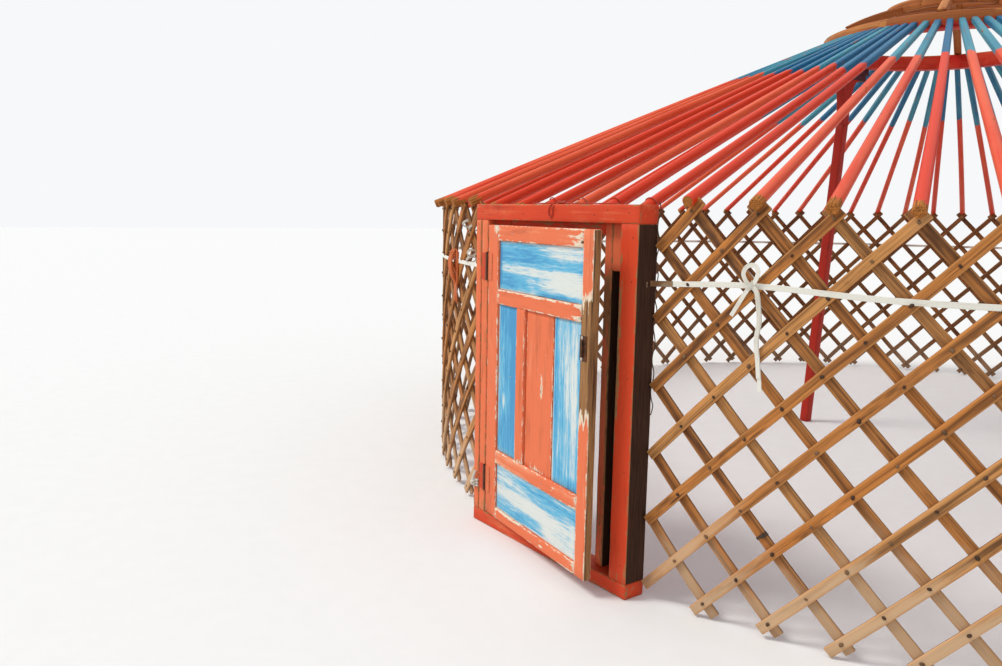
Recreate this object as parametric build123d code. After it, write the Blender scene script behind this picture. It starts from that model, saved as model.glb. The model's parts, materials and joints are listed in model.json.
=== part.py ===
from build123d import *
import math
import os

# A bare yurt frame: a round lattice wall with a door, roof poles and a crown on two pillars.
# The origin is the ring's centre on the ground, the door faces -Y, and angles run
# counter-clockwise from the door's middle, seen from above.

# Lattice wall
wall_radius = 3050.0
sections = 5
heads_per_section = 15
levels = 12
foot_crossing = 60.0
head_crossing = 1480.0
lath_width = 38.0
lath_thickness = 14.0
layer_gap = 0.3
fork_height = 80.0
edge_reach = 10.0
joint_gap = 0.6
columns_per_facet = 5

# Door frame
frame_width = 1040.0
frame_height = 1500.0
frame_depth = 100.0
frame_proud = 38.0
post_width = 92.0
lintel_height = 70.0
threshold_height = 60.0
stop_width = 125.0
stop_gap = 6.0
head_stop_height = 45.0
wall_clearance = 28.0

# Door leaf
leaf_thickness = 34.0
leaf_side_gap = 6.0
leaf_top_gap = 22.0
leaf_bottom_gap = 6.0
leaf_angle = 8.0
hinge_stile_width = 95.0
lock_stile_width = 70.0
top_rail_height = 68.0
upper_rail_height = 66.0
lower_rail_height = 60.0
bottom_rail_height = 48.0
upper_rail_foot = 1060.0
lower_rail_foot = 327.0
panel_thickness = 14.0
muntin_width = 70.0
left_panel_share = 0.26
centre_panel_share = 0.3175
board_gap = 8.0
pull_width = 45.0
pull_height = 95.0
pull_foot = 919.0
pull_thickness = 3.0
grip_reach = 12.0
grip_width = 10.0
grip_inset = 15.0
grip_bar = 6.0

# Door hinges
hinge_heights = (230.0, 1221.0)
hinge_height = 120.0
hinge_plate_width = 44.0
hinge_plate_thickness = 3.0
knuckle_radius = 6.0
knuckle_sides = 12
pin_radius = 2.5
pin_clearance = 0.4
knuckle_gap = 0.6
pin_reach = 4.0
pin_gap = 1.0
pin_head_radius = 5.0

# Crown
crown_radius = 720.0
crown_height = 2470.0
rim_width = 80.0
rim_height = 90.0
felloe_count = 8
spoke_count = 8
spoke_width = 42.0
spoke_height = 45.0
spoke_end_height = 12.0
spoke_foot_length = 70.0
spoke_setback = 5.0
dome_rise = 185.0
hoop_radius = 370.0
hoop_width = 40.0
hoop_height = 60.0
hoop_notch = 30.0
hub_radius = 85.0
hub_height = 70.0

# Roof poles
door_poles = 6
pole_butt_width = 44.0
pole_neck_width = 32.0
pole_overhang = 70.0
lintel_setback = 15.0
pole_neck_gap = 10.0
tenon_width = 22.0
tenon_length = 48.0
mortise_height = 30.0
seat_clearance = 0.3
flat_tolerance = 0.0001
seat_rounds = 4

# Pillars
pillar_width = 60.0
pillar_splay = 120.0
bracket_length = 460.0
bracket_thickness = 58.0
board_height = 42.0
board_setback = 30.0
cheek_length = 250.0
cheek_bend_out = 0.25
cheek_bend_down = 0.33
bracket_neck = 300.0

# Girth band
band_height = 1210.0
band_width = 20.0
band_thickness = 3.0

level_step = (head_crossing - foot_crossing) / (levels - 1)
edge_angle = math.asin((frame_width / 2 + wall_clearance) / wall_radius)
columns_per_section = 2 * heads_per_section
columns = sections * columns_per_section
column_angle = (2 * math.pi - 2 * edge_angle) / columns
facet_angle = columns_per_facet * column_angle
facet_length = 2 * wall_radius * math.sin(facet_angle / 2)
column_width = facet_length / columns_per_facet
lath_angle = math.atan2(level_step, column_width)
lath_half_height = lath_width / 2 / math.cos(lath_angle)
frame_front = wall_radius + frame_proud
frame_back = frame_front - frame_depth
stop_depth = frame_depth - leaf_thickness - stop_gap


def at(angle, radius, height=0.0):
    """A point at an angle from the door's middle."""
    return Vector(radius * math.sin(angle), -radius * math.cos(angle), height)


def facet_of(column):
    return min(max(int(column // columns_per_facet), 0), columns // columns_per_facet - 1)


def on_wall(column, height, offset):
    """A point on the wall's flat facet, offset outwards from the plane where the layers meet."""
    facet = facet_of(column)
    middle = edge_angle + (facet + 0.5) * facet_angle
    along = (column / columns_per_facet - facet - 0.5) * facet_length
    tangent = Vector(math.cos(middle), math.sin(middle), 0)
    return at(middle, wall_radius * math.cos(facet_angle / 2) + offset, height) + tangent * along


def on_fold(column, height, offset, shift=0.0):
    """A point on the upright line where two facets meet."""
    angle = edge_angle + column * column_angle + shift / wall_radius
    return at(angle, wall_radius + offset / math.cos(facet_angle / 2), height)


def flat_face(points):
    return Face(Wire.make_polygon(points, close=True))


def side_faces(a, b, c, d):
    """One flat face through four points, or two where the points aren't in a plane."""
    normal = (b - a).cross(c - a).normalized()
    if abs((d - a).dot(normal)) < flat_tolerance:
        return [flat_face([a, b, c, d])]
    return [flat_face([a, b, c]), flat_face([a, c, d])]


def skin(cuts):
    """A solid through a row of cuts with as many corners each, all its faces flat."""
    faces = [flat_face(cuts[0]), flat_face(cuts[-1])]
    count = len(cuts[0])
    for low, high in zip(cuts, cuts[1:]):
        for i in range(count):
            j = (i + 1) % count
            faces += side_faces(low[i], low[j], high[j], high[i])
    solid = Solid(Shell(faces))
    return solid if solid.volume > 0 else Solid(solid.wrapped.Reversed())


def fold_cut(column, height, inner, outer, shift=0.0):
    """A lath's section where it bends from one facet to the next."""
    low = height - lath_half_height
    high = height + lath_half_height
    places = ((low, inner), (low, outer), (high, outer), (high, inner))
    return [on_fold(column, z, offset, shift) for z, offset in places]


def square_cut(column, height, rise, inner, outer):
    """A lath's sawn end, square to its length."""
    facet_shift = -rise * math.sin(lath_angle) * lath_width / 2 / column_width
    lift = math.cos(lath_angle) * lath_width / 2
    sides = ((-1, inner), (-1, outer), (1, outer), (1, inner))
    facet = facet_of(column)
    points = []
    for side, offset in sides:
        middle = edge_angle + (facet + 0.5) * facet_angle
        place = column + side * facet_shift
        along = (place / columns_per_facet - facet - 0.5) * facet_length
        tangent = Vector(math.cos(middle), math.sin(middle), 0)
        base = at(middle, wall_radius * math.cos(facet_angle / 2) + offset, height + side * lift)
        points.append(base + tangent * along)
    return points


def lath(start, end, height_of, rise, inner, outer, joints):
    """One lath, which bends at each fold line."""
    cuts = []
    for column in (start, end):
        if column in joints:
            shift = joint_gap / 2 if column == start else -joint_gap / 2
            cuts.append(fold_cut(column, height_of(column), inner, outer, shift))
        else:
            cuts.append(square_cut(column, height_of(column), rise, inner, outer))
    folds = range(columns_per_facet, columns, columns_per_facet)
    bends = [c for c in folds if start < c < end]
    middle = [fold_cut(c, height_of(c), inner, outer) for c in bends]
    return skin([cuts[0], *middle, cuts[1]])


def laths(section, rise):
    """All laths of one layer in a wall section; those at its upright edges are short."""
    first = section * columns_per_section
    last = first + columns_per_section
    joints = [c for c in (first, last) if 0 < c < columns]
    reach = edge_reach / column_width
    low_end = first if first in joints else first - reach
    high_end = last if last in joints else last + reach
    foot = (foot_crossing - math.cos(lath_angle) * lath_width / 2) / level_step
    fork = levels - 1 + fork_height / level_step
    inner = layer_gap / 2 if rise > 0 else -layer_gap / 2 - lath_thickness
    outer = inner + lath_thickness
    solids = []
    for start in range(first - levels, last + levels + 1, 2):
        ends = sorted((start - rise * foot, start + rise * fork))
        begin = max(ends[0], low_end)
        finish = min(ends[1], high_end)
        if finish - begin < 1:
            continue

        def height_of(column, start=start):
            return foot_crossing + rise * (column - start) * level_step

        solids.append(lath(begin, finish, height_of, rise, inner, outer, joints))
    return solids


def box(x0, x1, y0, y1, z0, z1):
    """A box between two corners."""
    size = (x1 - x0, y1 - y0, z1 - z0)
    return Pos((x0 + x1) / 2, (y0 + y1) / 2, (z0 + z1) / 2) * Box(*size)


def turned(shape, angle):
    return shape.rotate(Axis.Z, math.degrees(angle))


mortise_centre = crown_height + mortise_height


def pole(seat_radius, seat_height, overhang):
    """A pole in the plane of the door's middle, from its butt past its seat to its crown tenon."""
    seat = at(0, seat_radius, seat_height)
    direction = (pole_neck - seat).normalized()
    butt = seat - direction * overhang
    ends = [octagon(butt, direction, pole_butt_width), octagon(pole_neck, direction, pole_neck_width)]
    return skin(ends) + tenon()


pole_neck = at(0, crown_radius + pole_neck_gap, mortise_centre)


def octagon(centre, direction, width):
    """The corners of an eight-sided section, with flats above and below."""
    across = Vector(1, 0, 0)
    upright = direction.cross(across) * -1
    radius = width / 2 / math.cos(math.pi / 8)
    turns = [math.pi / 8 + i * math.pi / 4 for i in range(8)]
    return [centre + across * radius * math.cos(t) + upright * radius * math.sin(t) for t in turns]


def tenon(clearance=0.0):
    """The square tip that enters the crown's rim; with a clearance, the mortise for it."""
    direction = (pole_neck - at(0, wall_radius, pole_seat(wall_radius))).normalized()
    top = Plane(origin=pole_neck, x_dir=(1, 0, 0), z_dir=direction)
    side = tenon_width + 2 * clearance
    return extrude(top * Rectangle(side, side), tenon_length + clearance)


def pole_rise(seat_radius, seat_height):
    return (mortise_centre - seat_height) / (seat_radius - crown_radius - pole_neck_gap)


def pole_seat(radius):
    """How high a pole's middle lies where its corners rest in the fork above a head crossing."""
    corner = pole_butt_width / 2 / math.cos(math.pi / 8)
    skew = math.acos(min(1, wall_radius * math.cos(facet_angle / 2) / radius))
    height = head_crossing
    for _ in range(seat_rounds):
        slope = pole_rise(radius, height)
        lean = math.hypot(1, slope)
        turns = (math.pi / 8, 3 * math.pi / 8)
        reach = max(corner * (math.cos(t) * math.tan(lath_angle) + math.sin(t) * lean) for t in turns)
        drop = (slope + math.tan(skew) * math.tan(lath_angle)) * (lath_thickness + layer_gap / 2)
        height = head_crossing + lath_half_height + reach + drop + seat_clearance
    return height


def section_poles(section):
    """The poles that stand in one wall section's forks."""
    first = section * columns_per_section
    solids = []
    for column in range(first + 1, first + columns_per_section, 2):
        place = on_wall(column, 0, 0)
        radius = math.hypot(place.X, place.Y)
        angle = math.atan2(place.X, -place.Y)
        solids.append(turned(pole(radius, pole_seat(radius), pole_overhang), angle))
    return solids


def door_pole_angles():
    span = 2 * (edge_angle + column_angle)
    step = span / (door_poles + 1)
    return [step * (i + 1) - span / 2 for i in range(door_poles)]


def lintel_poles():
    """The poles whose feet stand on the lintel, just behind its front edge."""
    solids = []
    for angle in door_pole_angles():
        radius = (frame_front - lintel_setback) / math.cos(angle)
        slope = pole_rise(radius, frame_height)
        lift = pole_butt_width / 2 / math.hypot(1, slope) + seat_clearance
        solids.append(turned(pole(radius, frame_height + lift, 0), angle))
    return solids


def all_pole_angles():
    angles = door_pole_angles()
    for column in range(1, columns, 2):
        place = on_wall(column, 0, 0)
        angles.append(math.atan2(place.X, -place.Y))
    return angles


def rim_folds():
    """Angles midway between neighbouring poles, in order round the crown."""
    angles = sorted(angle % (2 * math.pi) for angle in all_pole_angles())
    folds = [(low + high) / 2 for low, high in zip(angles, angles[1:])]
    return folds + [(angles[-1] + angles[0]) / 2 + math.pi]


def ring_cut(angle, outer, width, foot, height, shift=0.0):
    """An upright section through a ring of the crown."""
    turn = angle + shift / outer
    corners = ((outer - width, foot), (outer, foot), (outer, foot + height), (outer - width, foot + height))
    return [at(turn, radius, z) for radius, z in corners]


def felloes(folds, starts, outer, width, foot, height):
    """A ring built up from bowed pieces that butt at their ends, with a flat between its folds."""
    pieces = []
    for start, end in zip(starts, starts[1:] + [starts[0] + len(folds)]):
        cuts = []
        for i in range(start, end + 1):
            gap = {start: joint_gap / 2, end: -joint_gap / 2}.get(i, 0)
            cuts.append(ring_cut(folds[i % len(folds)], outer, width, foot, height, gap))
        pieces.append(skin(cuts))
    return pieces


def crown_rim():
    """The rim that carries the pole tips in square mortises."""
    cutters = [turned(tenon(seat_clearance), angle) for angle in all_pole_angles()]
    folds = rim_folds()
    starts = [i * (len(folds) // felloe_count) for i in range(felloe_count)]
    pieces = []
    for piece in felloes(folds, starts, crown_radius, rim_width, crown_height, rim_height):
        reach = piece.bounding_box()
        near = [c for c in cutters if reach.overlaps(c.bounding_box())]
        pieces.append(piece - near)
    return pieces


dome_foot = crown_height + rim_height
dome_reach = crown_radius - spoke_setback
spoke_angle = 2 * math.pi / spoke_count


def spoke_side(clearance=0.0):
    """The side view of a pair of bowed spokes, feathered out to their feet on the rim."""
    side = dome_reach + clearance
    heel = side - spoke_foot_length
    low = dome_foot + dome_rise - spoke_height - clearance
    high = dome_foot + dome_rise + clearance
    end = dome_foot + spoke_end_height + clearance
    belly = ThreePointArc((-heel, dome_foot), (0, low), (heel, dome_foot))
    back = ThreePointArc((side, end), (0, high), (-side, end))
    edges = [
        belly,
        Line((heel, dome_foot), (side, dome_foot)),
        Line((side, dome_foot), (side, end)),
        back,
        Line((-side, end), (-side, dome_foot)),
        Line((-side, dome_foot), (-heel, dome_foot)),
    ]
    return Plane.XZ * make_face(edges)


def crown_spokes():
    """Bowed spokes that rise from the rim to the hub."""
    bar = extrude(spoke_side(), spoke_width / 2, both=True)
    near = hub_radius + seat_clearance
    half = bar & box(near, crown_radius, -spoke_width, spoke_width, 0, 2 * crown_height)
    return [turned(half, spoke_angle * (i + 0.5)) for i in range(spoke_count)]


def spoke_back(radius):
    """How high a spoke's upper side is at a distance from the crown's middle."""
    drop = dome_rise - spoke_end_height
    bow = (dome_reach ** 2 + drop ** 2) / (2 * drop)
    return dome_foot + dome_rise - bow + math.sqrt(bow ** 2 - radius ** 2)


def crown_hoop():
    """The small hoop on the dome, notched over the spokes; its pieces butt between them."""
    parts_per_piece = 4
    folds = [spoke_angle * i / parts_per_piece for i in range(spoke_count * parts_per_piece)]
    starts = [i * parts_per_piece for i in range(spoke_count)]
    foot = spoke_back(hoop_radius) - hoop_notch
    gap = seat_clearance
    rider = extrude(spoke_side(gap), spoke_width / 2 + gap, both=True)
    riders = [turned(rider, spoke_angle * (i + 0.5)) for i in range(spoke_count // 2)]
    return [piece - riders for piece in felloes(folds, starts, hoop_radius, hoop_width, foot, hoop_height)]


def crown_hub():
    """The block in the middle, with a flat for each spoke."""
    middle = dome_foot + dome_rise - spoke_height / 2
    corner = hub_radius / math.cos(math.pi / spoke_count)
    block = extrude(RegularPolygon(corner, spoke_count), hub_height / 2, both=True)
    return Pos(0, 0, middle) * block


pillar_middle = crown_radius - rim_width / 2
bracket_foot = crown_height - 2 * board_height - bracket_neck


def pillar(side):
    """A pillar's post, which leans in from the ground to its bracket."""
    half = pillar_width / 2
    cuts = []
    for x, z in ((side * (pillar_middle + pillar_splay), 0), (side * pillar_middle, bracket_foot)):
        cuts.append([Vector(x + i * half, j * half, z) for i, j in ((-1, -1), (1, -1), (1, 1), (-1, 1))])
    return skin(cuts)


def pillar_bracket(side):
    """The carved bracket on a pillar: two boards under the rim, and cheeks that curve in to the post."""
    half = bracket_length / 2
    cheek = cheek_length / 2
    waist = pillar_width / 2
    board = crown_height - board_height
    shoulder = board - board_height
    bend = (waist + (cheek - waist) * cheek_bend_out, shoulder - bracket_neck * cheek_bend_down)
    right = [
        Line((half, crown_height), (half, board)),
        Line((half, board), (half - board_setback, board)),
        Line((half - board_setback, board), (half - board_setback, shoulder)),
        Line((half - board_setback, shoulder), (cheek, shoulder)),
        ThreePointArc((cheek, shoulder), bend, (waist, bracket_foot)),
    ]
    left = [mirror(edge, Plane.YZ) for edge in right]
    top = Line((-half, crown_height), (half, crown_height))
    foot = Line((-waist, bracket_foot), (waist, bracket_foot))
    face = make_face([*right, *left, top, foot])
    return Pos(side * pillar_middle, 0, 0) * extrude(Plane.YZ * face, bracket_thickness / 2, both=True)


half_frame = frame_width / 2
post_inner = half_frame - post_width
opening_top = frame_height - lintel_height


def door_post(side):
    """An outer post of the door frame."""
    edges = sorted((side * half_frame, side * post_inner))
    return box(*edges, -frame_front, -frame_back, threshold_height, opening_top)


def door_stop(side):
    """The strip behind the leaf that it closes against."""
    edges = sorted((side * post_inner, side * (post_inner - stop_width)))
    return box(*edges, -frame_back - stop_depth, -frame_back, threshold_height, opening_top)


def head_stop():
    inner = post_inner - stop_width
    foot = opening_top - head_stop_height
    return box(-inner, inner, -frame_back - stop_depth, -frame_back, foot, opening_top)


leaf_left = -post_inner + leaf_side_gap
leaf_right = post_inner - leaf_side_gap
leaf_foot = threshold_height + leaf_bottom_gap
leaf_head = opening_top - leaf_top_gap
leaf_front = -frame_front
leaf_back = leaf_front + leaf_thickness
hinge_x = -post_inner + leaf_side_gap / 2
hinge_y = -frame_front - knuckle_radius - seat_clearance
hinge_axis = Axis((hinge_x, hinge_y, 0), (0, 0, 1))


def ajar(shape):
    """Turns a piece of the leaf out from the closed door to where it stands."""
    return shape.rotate(hinge_axis, -leaf_angle)


def leaf_board(x0, x1, z0, z1, depth=leaf_thickness):
    """A board of the leaf, centred in its thickness."""
    middle = (leaf_front + leaf_back) / 2
    return ajar(box(x0, x1, middle - depth / 2, middle + depth / 2, z0, z1))


rail_left = leaf_left + hinge_stile_width
rail_right = leaf_right - lock_stile_width
top_rail_foot = leaf_head - top_rail_height
upper_rail_head = upper_rail_foot + upper_rail_height
lower_rail_head = lower_rail_foot + lower_rail_height
bottom_rail_head = leaf_foot + bottom_rail_height
rail_length = rail_right - rail_left
muntin_left = rail_left + left_panel_share * rail_length
muntin_right = muntin_left + muntin_width
centre_left = muntin_right + board_gap
centre_right = centre_left + centre_panel_share * rail_length


def leaf_rails():
    spans = (
        (top_rail_foot, leaf_head),
        (upper_rail_foot, upper_rail_head),
        (lower_rail_foot, lower_rail_head),
        (leaf_foot, bottom_rail_head),
    )
    return [leaf_board(rail_left, rail_right, low, high) for low, high in spans]


def knuckle(side, number):
    """One barrel piece of a hinge, numbered up from its foot, with the web that joins it to its plate."""
    length = (hinge_height - 2 * knuckle_gap) / 3
    foot = number * (length + knuckle_gap) - hinge_height / 2
    reach = knuckle_radius + knuckle_gap
    low = knuckle_radius + seat_clearance - hinge_plate_thickness
    web = Pos(side * reach / 2, (low + knuckle_radius) / 2) * Rectangle(reach, knuckle_radius - low)
    barrel = RegularPolygon(knuckle_radius, knuckle_sides)
    section = barrel + web - RegularPolygon(pin_radius + pin_clearance, knuckle_sides)
    return Pos(hinge_x, hinge_y, 0) * extrude(Pos(0, 0, foot) * section, length)


def hinge_plate(side, numbers):
    """A hinge plate with its barrel pieces; side is -1 on the post and 1 on the leaf."""
    near = hinge_x + side * (knuckle_radius + knuckle_gap)
    edges = sorted((near, hinge_x + side * hinge_plate_width))
    face = -frame_front
    plate = box(*edges, face - hinge_plate_thickness, face, -hinge_height / 2, hinge_height / 2)
    return plate + [knuckle(side, number) for number in numbers]


def hinge_pin():
    """The pin through a hinge's barrel, with its head."""
    pin = extrude(RegularPolygon(pin_radius, knuckle_sides), hinge_height / 2 + pin_reach, both=True)
    top = Pos(0, 0, hinge_height / 2 + pin_gap)
    head = extrude(top * RegularPolygon(pin_head_radius, knuckle_sides), pin_reach)
    return Pos(hinge_x, hinge_y, 0) * (pin + head)


def pull_plate():
    """The plate with its raised grip near the lock stile's edge."""
    face = leaf_front - pull_thickness
    head = pull_foot + pull_height
    plate = box(rail_right, rail_right + pull_width, face, leaf_front, pull_foot, head)
    middle = rail_right + pull_width / 2
    left = middle - grip_width / 2
    right = middle + grip_width / 2
    low = pull_foot + grip_inset
    high = head - grip_inset
    front = leaf_front - grip_reach
    bar = box(left, right, front, front + grip_bar, low, high)
    feet = [box(left, right, front, face, z, z + grip_bar) for z in (low, high - grip_bar)]
    return ajar(plate + bar + feet)


def band_cut(point, outward):
    """An upright section of the girth band, standing out from a point."""
    low = Vector(0, 0, -band_width / 2)
    high = Vector(0, 0, band_width / 2)
    out = outward * band_thickness
    return [point + low, point + low + out, point + high + out, point + high]


def girth_band():
    """The band round the outside of the wall, tied to the door posts at both ends."""
    offset = layer_gap / 2 + lath_thickness + seat_clearance
    post_side = half_frame + seat_clearance
    post_middle = -(frame_front + frame_back) / 2
    cuts = [band_cut(Vector(post_side, post_middle, band_height), Vector(0, -1, 0))]
    for column in range(0, columns + 1, columns_per_facet):
        angle = edge_angle + column * column_angle
        cuts.append(band_cut(on_fold(column, band_height, offset), at(angle, 1)))
    cuts.append(band_cut(Vector(-post_side, post_middle, band_height), Vector(0, -1, 0)))
    return skin(cuts)


def save(name, shapes):
    """Writes one node; like pieces that don't touch share it."""
    solids = shapes if isinstance(shapes, list) else [shapes]
    export_step(Compound(children=[s for shape in solids for s in shape.solids()]), f"parts/{name}.step")


def main():
    os.makedirs("parts", exist_ok=True)
    for section in range(sections):
        save(f"wall_section_{section + 1}_outer_laths", laths(section, 1))
        save(f"wall_section_{section + 1}_inner_laths", laths(section, -1))
        save(f"roof_poles_section_{section + 1}", section_poles(section))
    save("roof_poles_door", lintel_poles())
    save("crown_rim", crown_rim())
    save("crown_upper_hoop", crown_hoop())
    save("crown_spokes", crown_spokes())
    save("crown_hub", crown_hub())
    for side, name in ((-1, "left"), (1, "right")):
        save(f"pillar_{name}", pillar(side))
        save(f"pillar_bracket_{name}", pillar_bracket(side))
        save(f"door_post_{name}", door_post(side))
        save(f"door_stop_{name}", door_stop(side))
    save("door_lintel", box(-half_frame, half_frame, -frame_front, -frame_back, opening_top, frame_height))
    save("door_threshold", box(-half_frame, half_frame, -frame_front, -frame_back, 0, threshold_height))
    save("door_stop_head", head_stop())
    save("girth_band", girth_band())

    save("leaf_hinge_stile", leaf_board(leaf_left, rail_left, leaf_foot, leaf_head))
    save("leaf_lock_stile", leaf_board(rail_right, leaf_right, leaf_foot, leaf_head))
    save("leaf_rails", leaf_rails())
    save("leaf_muntin", leaf_board(muntin_left, muntin_right, lower_rail_head, upper_rail_foot))
    panels = {
        "leaf_top_panel": (rail_left, rail_right, upper_rail_head, top_rail_foot),
        "leaf_left_panel": (rail_left, muntin_left, lower_rail_head, upper_rail_foot),
        "leaf_centre_panel": (centre_left, centre_right, lower_rail_head, upper_rail_foot),
        "leaf_right_panel": (centre_right + board_gap, rail_right, lower_rail_head, upper_rail_foot),
        "leaf_bottom_panel": (rail_left, rail_right, bottom_rail_head, lower_rail_foot),
    }
    for name, span in panels.items():
        save(name, leaf_board(*span, depth=panel_thickness))
    on_post = hinge_plate(-1, (0, 2))
    on_leaf = ajar(hinge_plate(1, (1,)))
    save("door_hinge_plates", [Pos(0, 0, z) * on_post for z in hinge_heights])
    save("leaf_hinge_plates", [Pos(0, 0, z) * on_leaf for z in hinge_heights])
    save("door_hinge_pins", [Pos(0, 0, z) * hinge_pin() for z in hinge_heights])
    save("leaf_pull", pull_plate())


main()
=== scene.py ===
import json
import math
import random

import bpy
from bpy.props import FloatProperty, FloatVectorProperty, IntProperty, PointerProperty
from mathutils import Matrix, Vector, noise


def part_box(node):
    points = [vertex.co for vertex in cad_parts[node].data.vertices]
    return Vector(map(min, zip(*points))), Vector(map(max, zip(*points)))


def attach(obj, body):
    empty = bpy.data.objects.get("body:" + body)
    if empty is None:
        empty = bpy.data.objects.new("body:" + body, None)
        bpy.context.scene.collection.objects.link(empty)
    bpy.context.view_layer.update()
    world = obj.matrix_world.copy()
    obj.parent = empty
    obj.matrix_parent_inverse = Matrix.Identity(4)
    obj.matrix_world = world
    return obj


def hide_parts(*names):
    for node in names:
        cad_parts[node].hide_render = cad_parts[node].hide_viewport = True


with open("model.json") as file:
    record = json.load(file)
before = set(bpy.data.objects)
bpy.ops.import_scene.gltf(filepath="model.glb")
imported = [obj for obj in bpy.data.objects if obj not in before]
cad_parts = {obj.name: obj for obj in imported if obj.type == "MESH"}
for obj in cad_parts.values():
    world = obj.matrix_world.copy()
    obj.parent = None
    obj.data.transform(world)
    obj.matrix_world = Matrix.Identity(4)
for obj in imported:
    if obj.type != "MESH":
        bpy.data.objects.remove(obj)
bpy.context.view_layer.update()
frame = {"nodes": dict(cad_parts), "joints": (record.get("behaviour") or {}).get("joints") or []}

bl_info = {
    "name": "Bare yurt frame",
    "version": (1, 0, 0),
    "blender": (4, 5, 0),
    "location": "3D View > Sidebar > Yurt",
    "description": "Dresses a bare yurt frame: lattice wall, roof poles, crown, pillars and a painted door",
    "category": "Object",
}

FRAME_BODY = "frame"
LEAF_BODY = "door_leaf"
door_joint = frame["joints"][0]


def length(name, description, default):
    """A size in metres."""
    return FloatProperty(name=name, description=description, default=default, unit="LENGTH", precision=4)


def turn(name, description, default):
    """An angle in radians."""
    return FloatProperty(name=name, description=description, default=default, subtype="ANGLE")


def share(name, description, default):
    """A share from 0 to 1."""
    return FloatProperty(name=name, description=description, default=default, min=0, max=1, subtype="FACTOR")


def count(name, description, default):
    """A whole number of like things."""
    return IntProperty(name=name, description=description, default=default, min=1)


def colour(name, description, default):
    """A linear colour."""
    return FloatVectorProperty(name=name, description=description, default=default, subtype="COLOR", size=3)


class YurtWallSizes(bpy.types.PropertyGroup):
    """Sizes of the lattice wall."""

    radius: length("Wall radius", "From the middle of the floor to where the two layers of laths meet", 3.042)
    ring_radius: length("Ring radius", "Radius at which the half doorway is measured", 3.05)
    half_doorway: length("Half doorway", "From the door's middle to the wall's first column", 0.548)
    sections: count("Sections", "Folding lattice sections round the wall", 5)
    heads: count("Heads", "Forks along the top of a section", 15)
    levels: count("Levels", "Rows of crossings", 12)
    foot_crossing: length("Foot crossing", "Height of the lowest crossings", 0.06)
    head_crossing: length("Head crossing", "Height of the topmost crossings", 1.48)
    lath_width: length("Lath width", "Width of a lath", 0.038)
    lath_thickness: length("Lath thickness", "Thickness of a lath", 0.0138)
    fork_height: length("Fork height", "How far the longest laths run on above the topmost crossings", 0.04)
    sag: length("Sag", "How far the wall's head has sunk to the right of the door", 0.026)
    sag_width: count("Sag width", "Columns from the door to the lowest place of the sag", 8)
    edge_reach: length("Edge reach", "How far the laths run past the wall's last column at the door", 0.01)
    layer_gap: length("Layer gap", "From where the layers meet to the face of either one", 0.0002)
    arris: length("Lath arris", "Worn radius of a lath's edges", 0.0022)
    bow: length("Lath bow", "How far a lath may bend from straight", 0.006)
    wander: length("Lath wander", "How far a lath strays from its line on the way", 0.0022)
    uneven_width: share("Uneven width", "How much a lath's width varies", 0.05)
    trimmed: share("Trimmed", "How much of a column a lath's end may be cut short", 0.14)
    joint_gap: share("Joint gap", "How much of a column the laths stop short of a section's joint", 0.004)
    # the inner layer's darkening is painted shade
    inner_shade: share("Inner shade", "How much darker the inner layer of laths is", 0.22)
    ring_step: length("Lath step", "Distance between the rings of points along a lath", 0.06)
    knot_size: length("Knot size", "Radius of the hide knots at the crossings", 0.0062)


class YurtRoofSizes(bpy.types.PropertyGroup):
    """Sizes of the roof poles, the crown and the pillars."""

    crown_radius: length("Crown radius", "Outer radius of the crown's rim", 0.72)
    neck_gap: length("Neck gap", "Gap between a pole's shoulder and the rim", 0.01)
    mortise_height: length("Mortise height", "From the rim's underside to the middle of a mortise", 0.03)
    butt_width: length("Butt width", "Thickness of a pole where it rests on the wall", 0.044)
    neck_width: length("Neck width", "Thickness of a pole at its shoulder", 0.032)
    tenon_width: length("Tenon width", "Width of a pole's square tip", 0.022)
    tenon_length: length("Tenon length", "Length of a pole's square tip", 0.04)
    overhang: length("Overhang", "How far a pole's foot runs past the wall", 0.07)
    seat_notch: length("Seat notch", "How deep the poles' feet sit in the forks and in the lintel", 0.016)
    lintel_hold: length("Lintel hold", "How far a pole's foot is sunk into the lintel", 0.03)
    lintel_setback: length("Lintel setback", "How far a pole's foot is behind the lintel's front edge", 0.06)
    door_poles: count("Door poles", "Poles whose feet lie on the lintel", 6)
    blue_length: length("Blue length", "Length of the blue paint at a pole's tip", 0.75)
    spokes: count("Spokes", "Bowed spokes on the crown", 8)
    spoke_width: length("Spoke width", "Width of a bowed spoke", 0.042)
    spoke_depth: length("Spoke depth", "Depth of a bowed spoke", 0.044)
    spoke_feather: length("Spoke feather", "Depth of a spoke's thin foot on the rim", 0.012)
    spoke_inset: length("Spoke inset", "How far a spoke's foot is inside the rim's outer edge", 0.006)
    spoke_thickening: share("Spoke thickening", "Depth that a spoke gains for its run from the foot", 0.55)
    rim_width: length("Rim width", "Width of the crown's rim", 0.08)
    rim_nose: length("Rim nose", "Rounding of the rim's outer edges", 0.012)
    felloes: count("Felloes", "Curved pieces of wood that the rim is made of", 8)
    half_mortise: length("Half mortise", "Half the width of a mortise in the rim", 0.0145)
    mortise_depth: length("Mortise depth", "How deep a mortise is", 0.04)
    hoop_width: length("Hoop width", "Width of the small hoop on the dome", 0.04)
    pillar_width: length("Pillar width", "Width of a pillar's post", 0.06)
    pillar_chamfer: length("Pillar chamfer", "Chamfer on a pillar's corners", 0.008)
    bracket_waist: length("Bracket waist", "Height of a bracket's carved cheeks", 0.3)
    cheek_length: length("Cheek length", "Width of the carved cheeks below the boards", 0.25)
    board_height: length("Board height", "Height of each of the bracket's two boards", 0.042)
    board_setback: length("Board setback", "How much shorter the lower board is at each end", 0.03)


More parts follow.
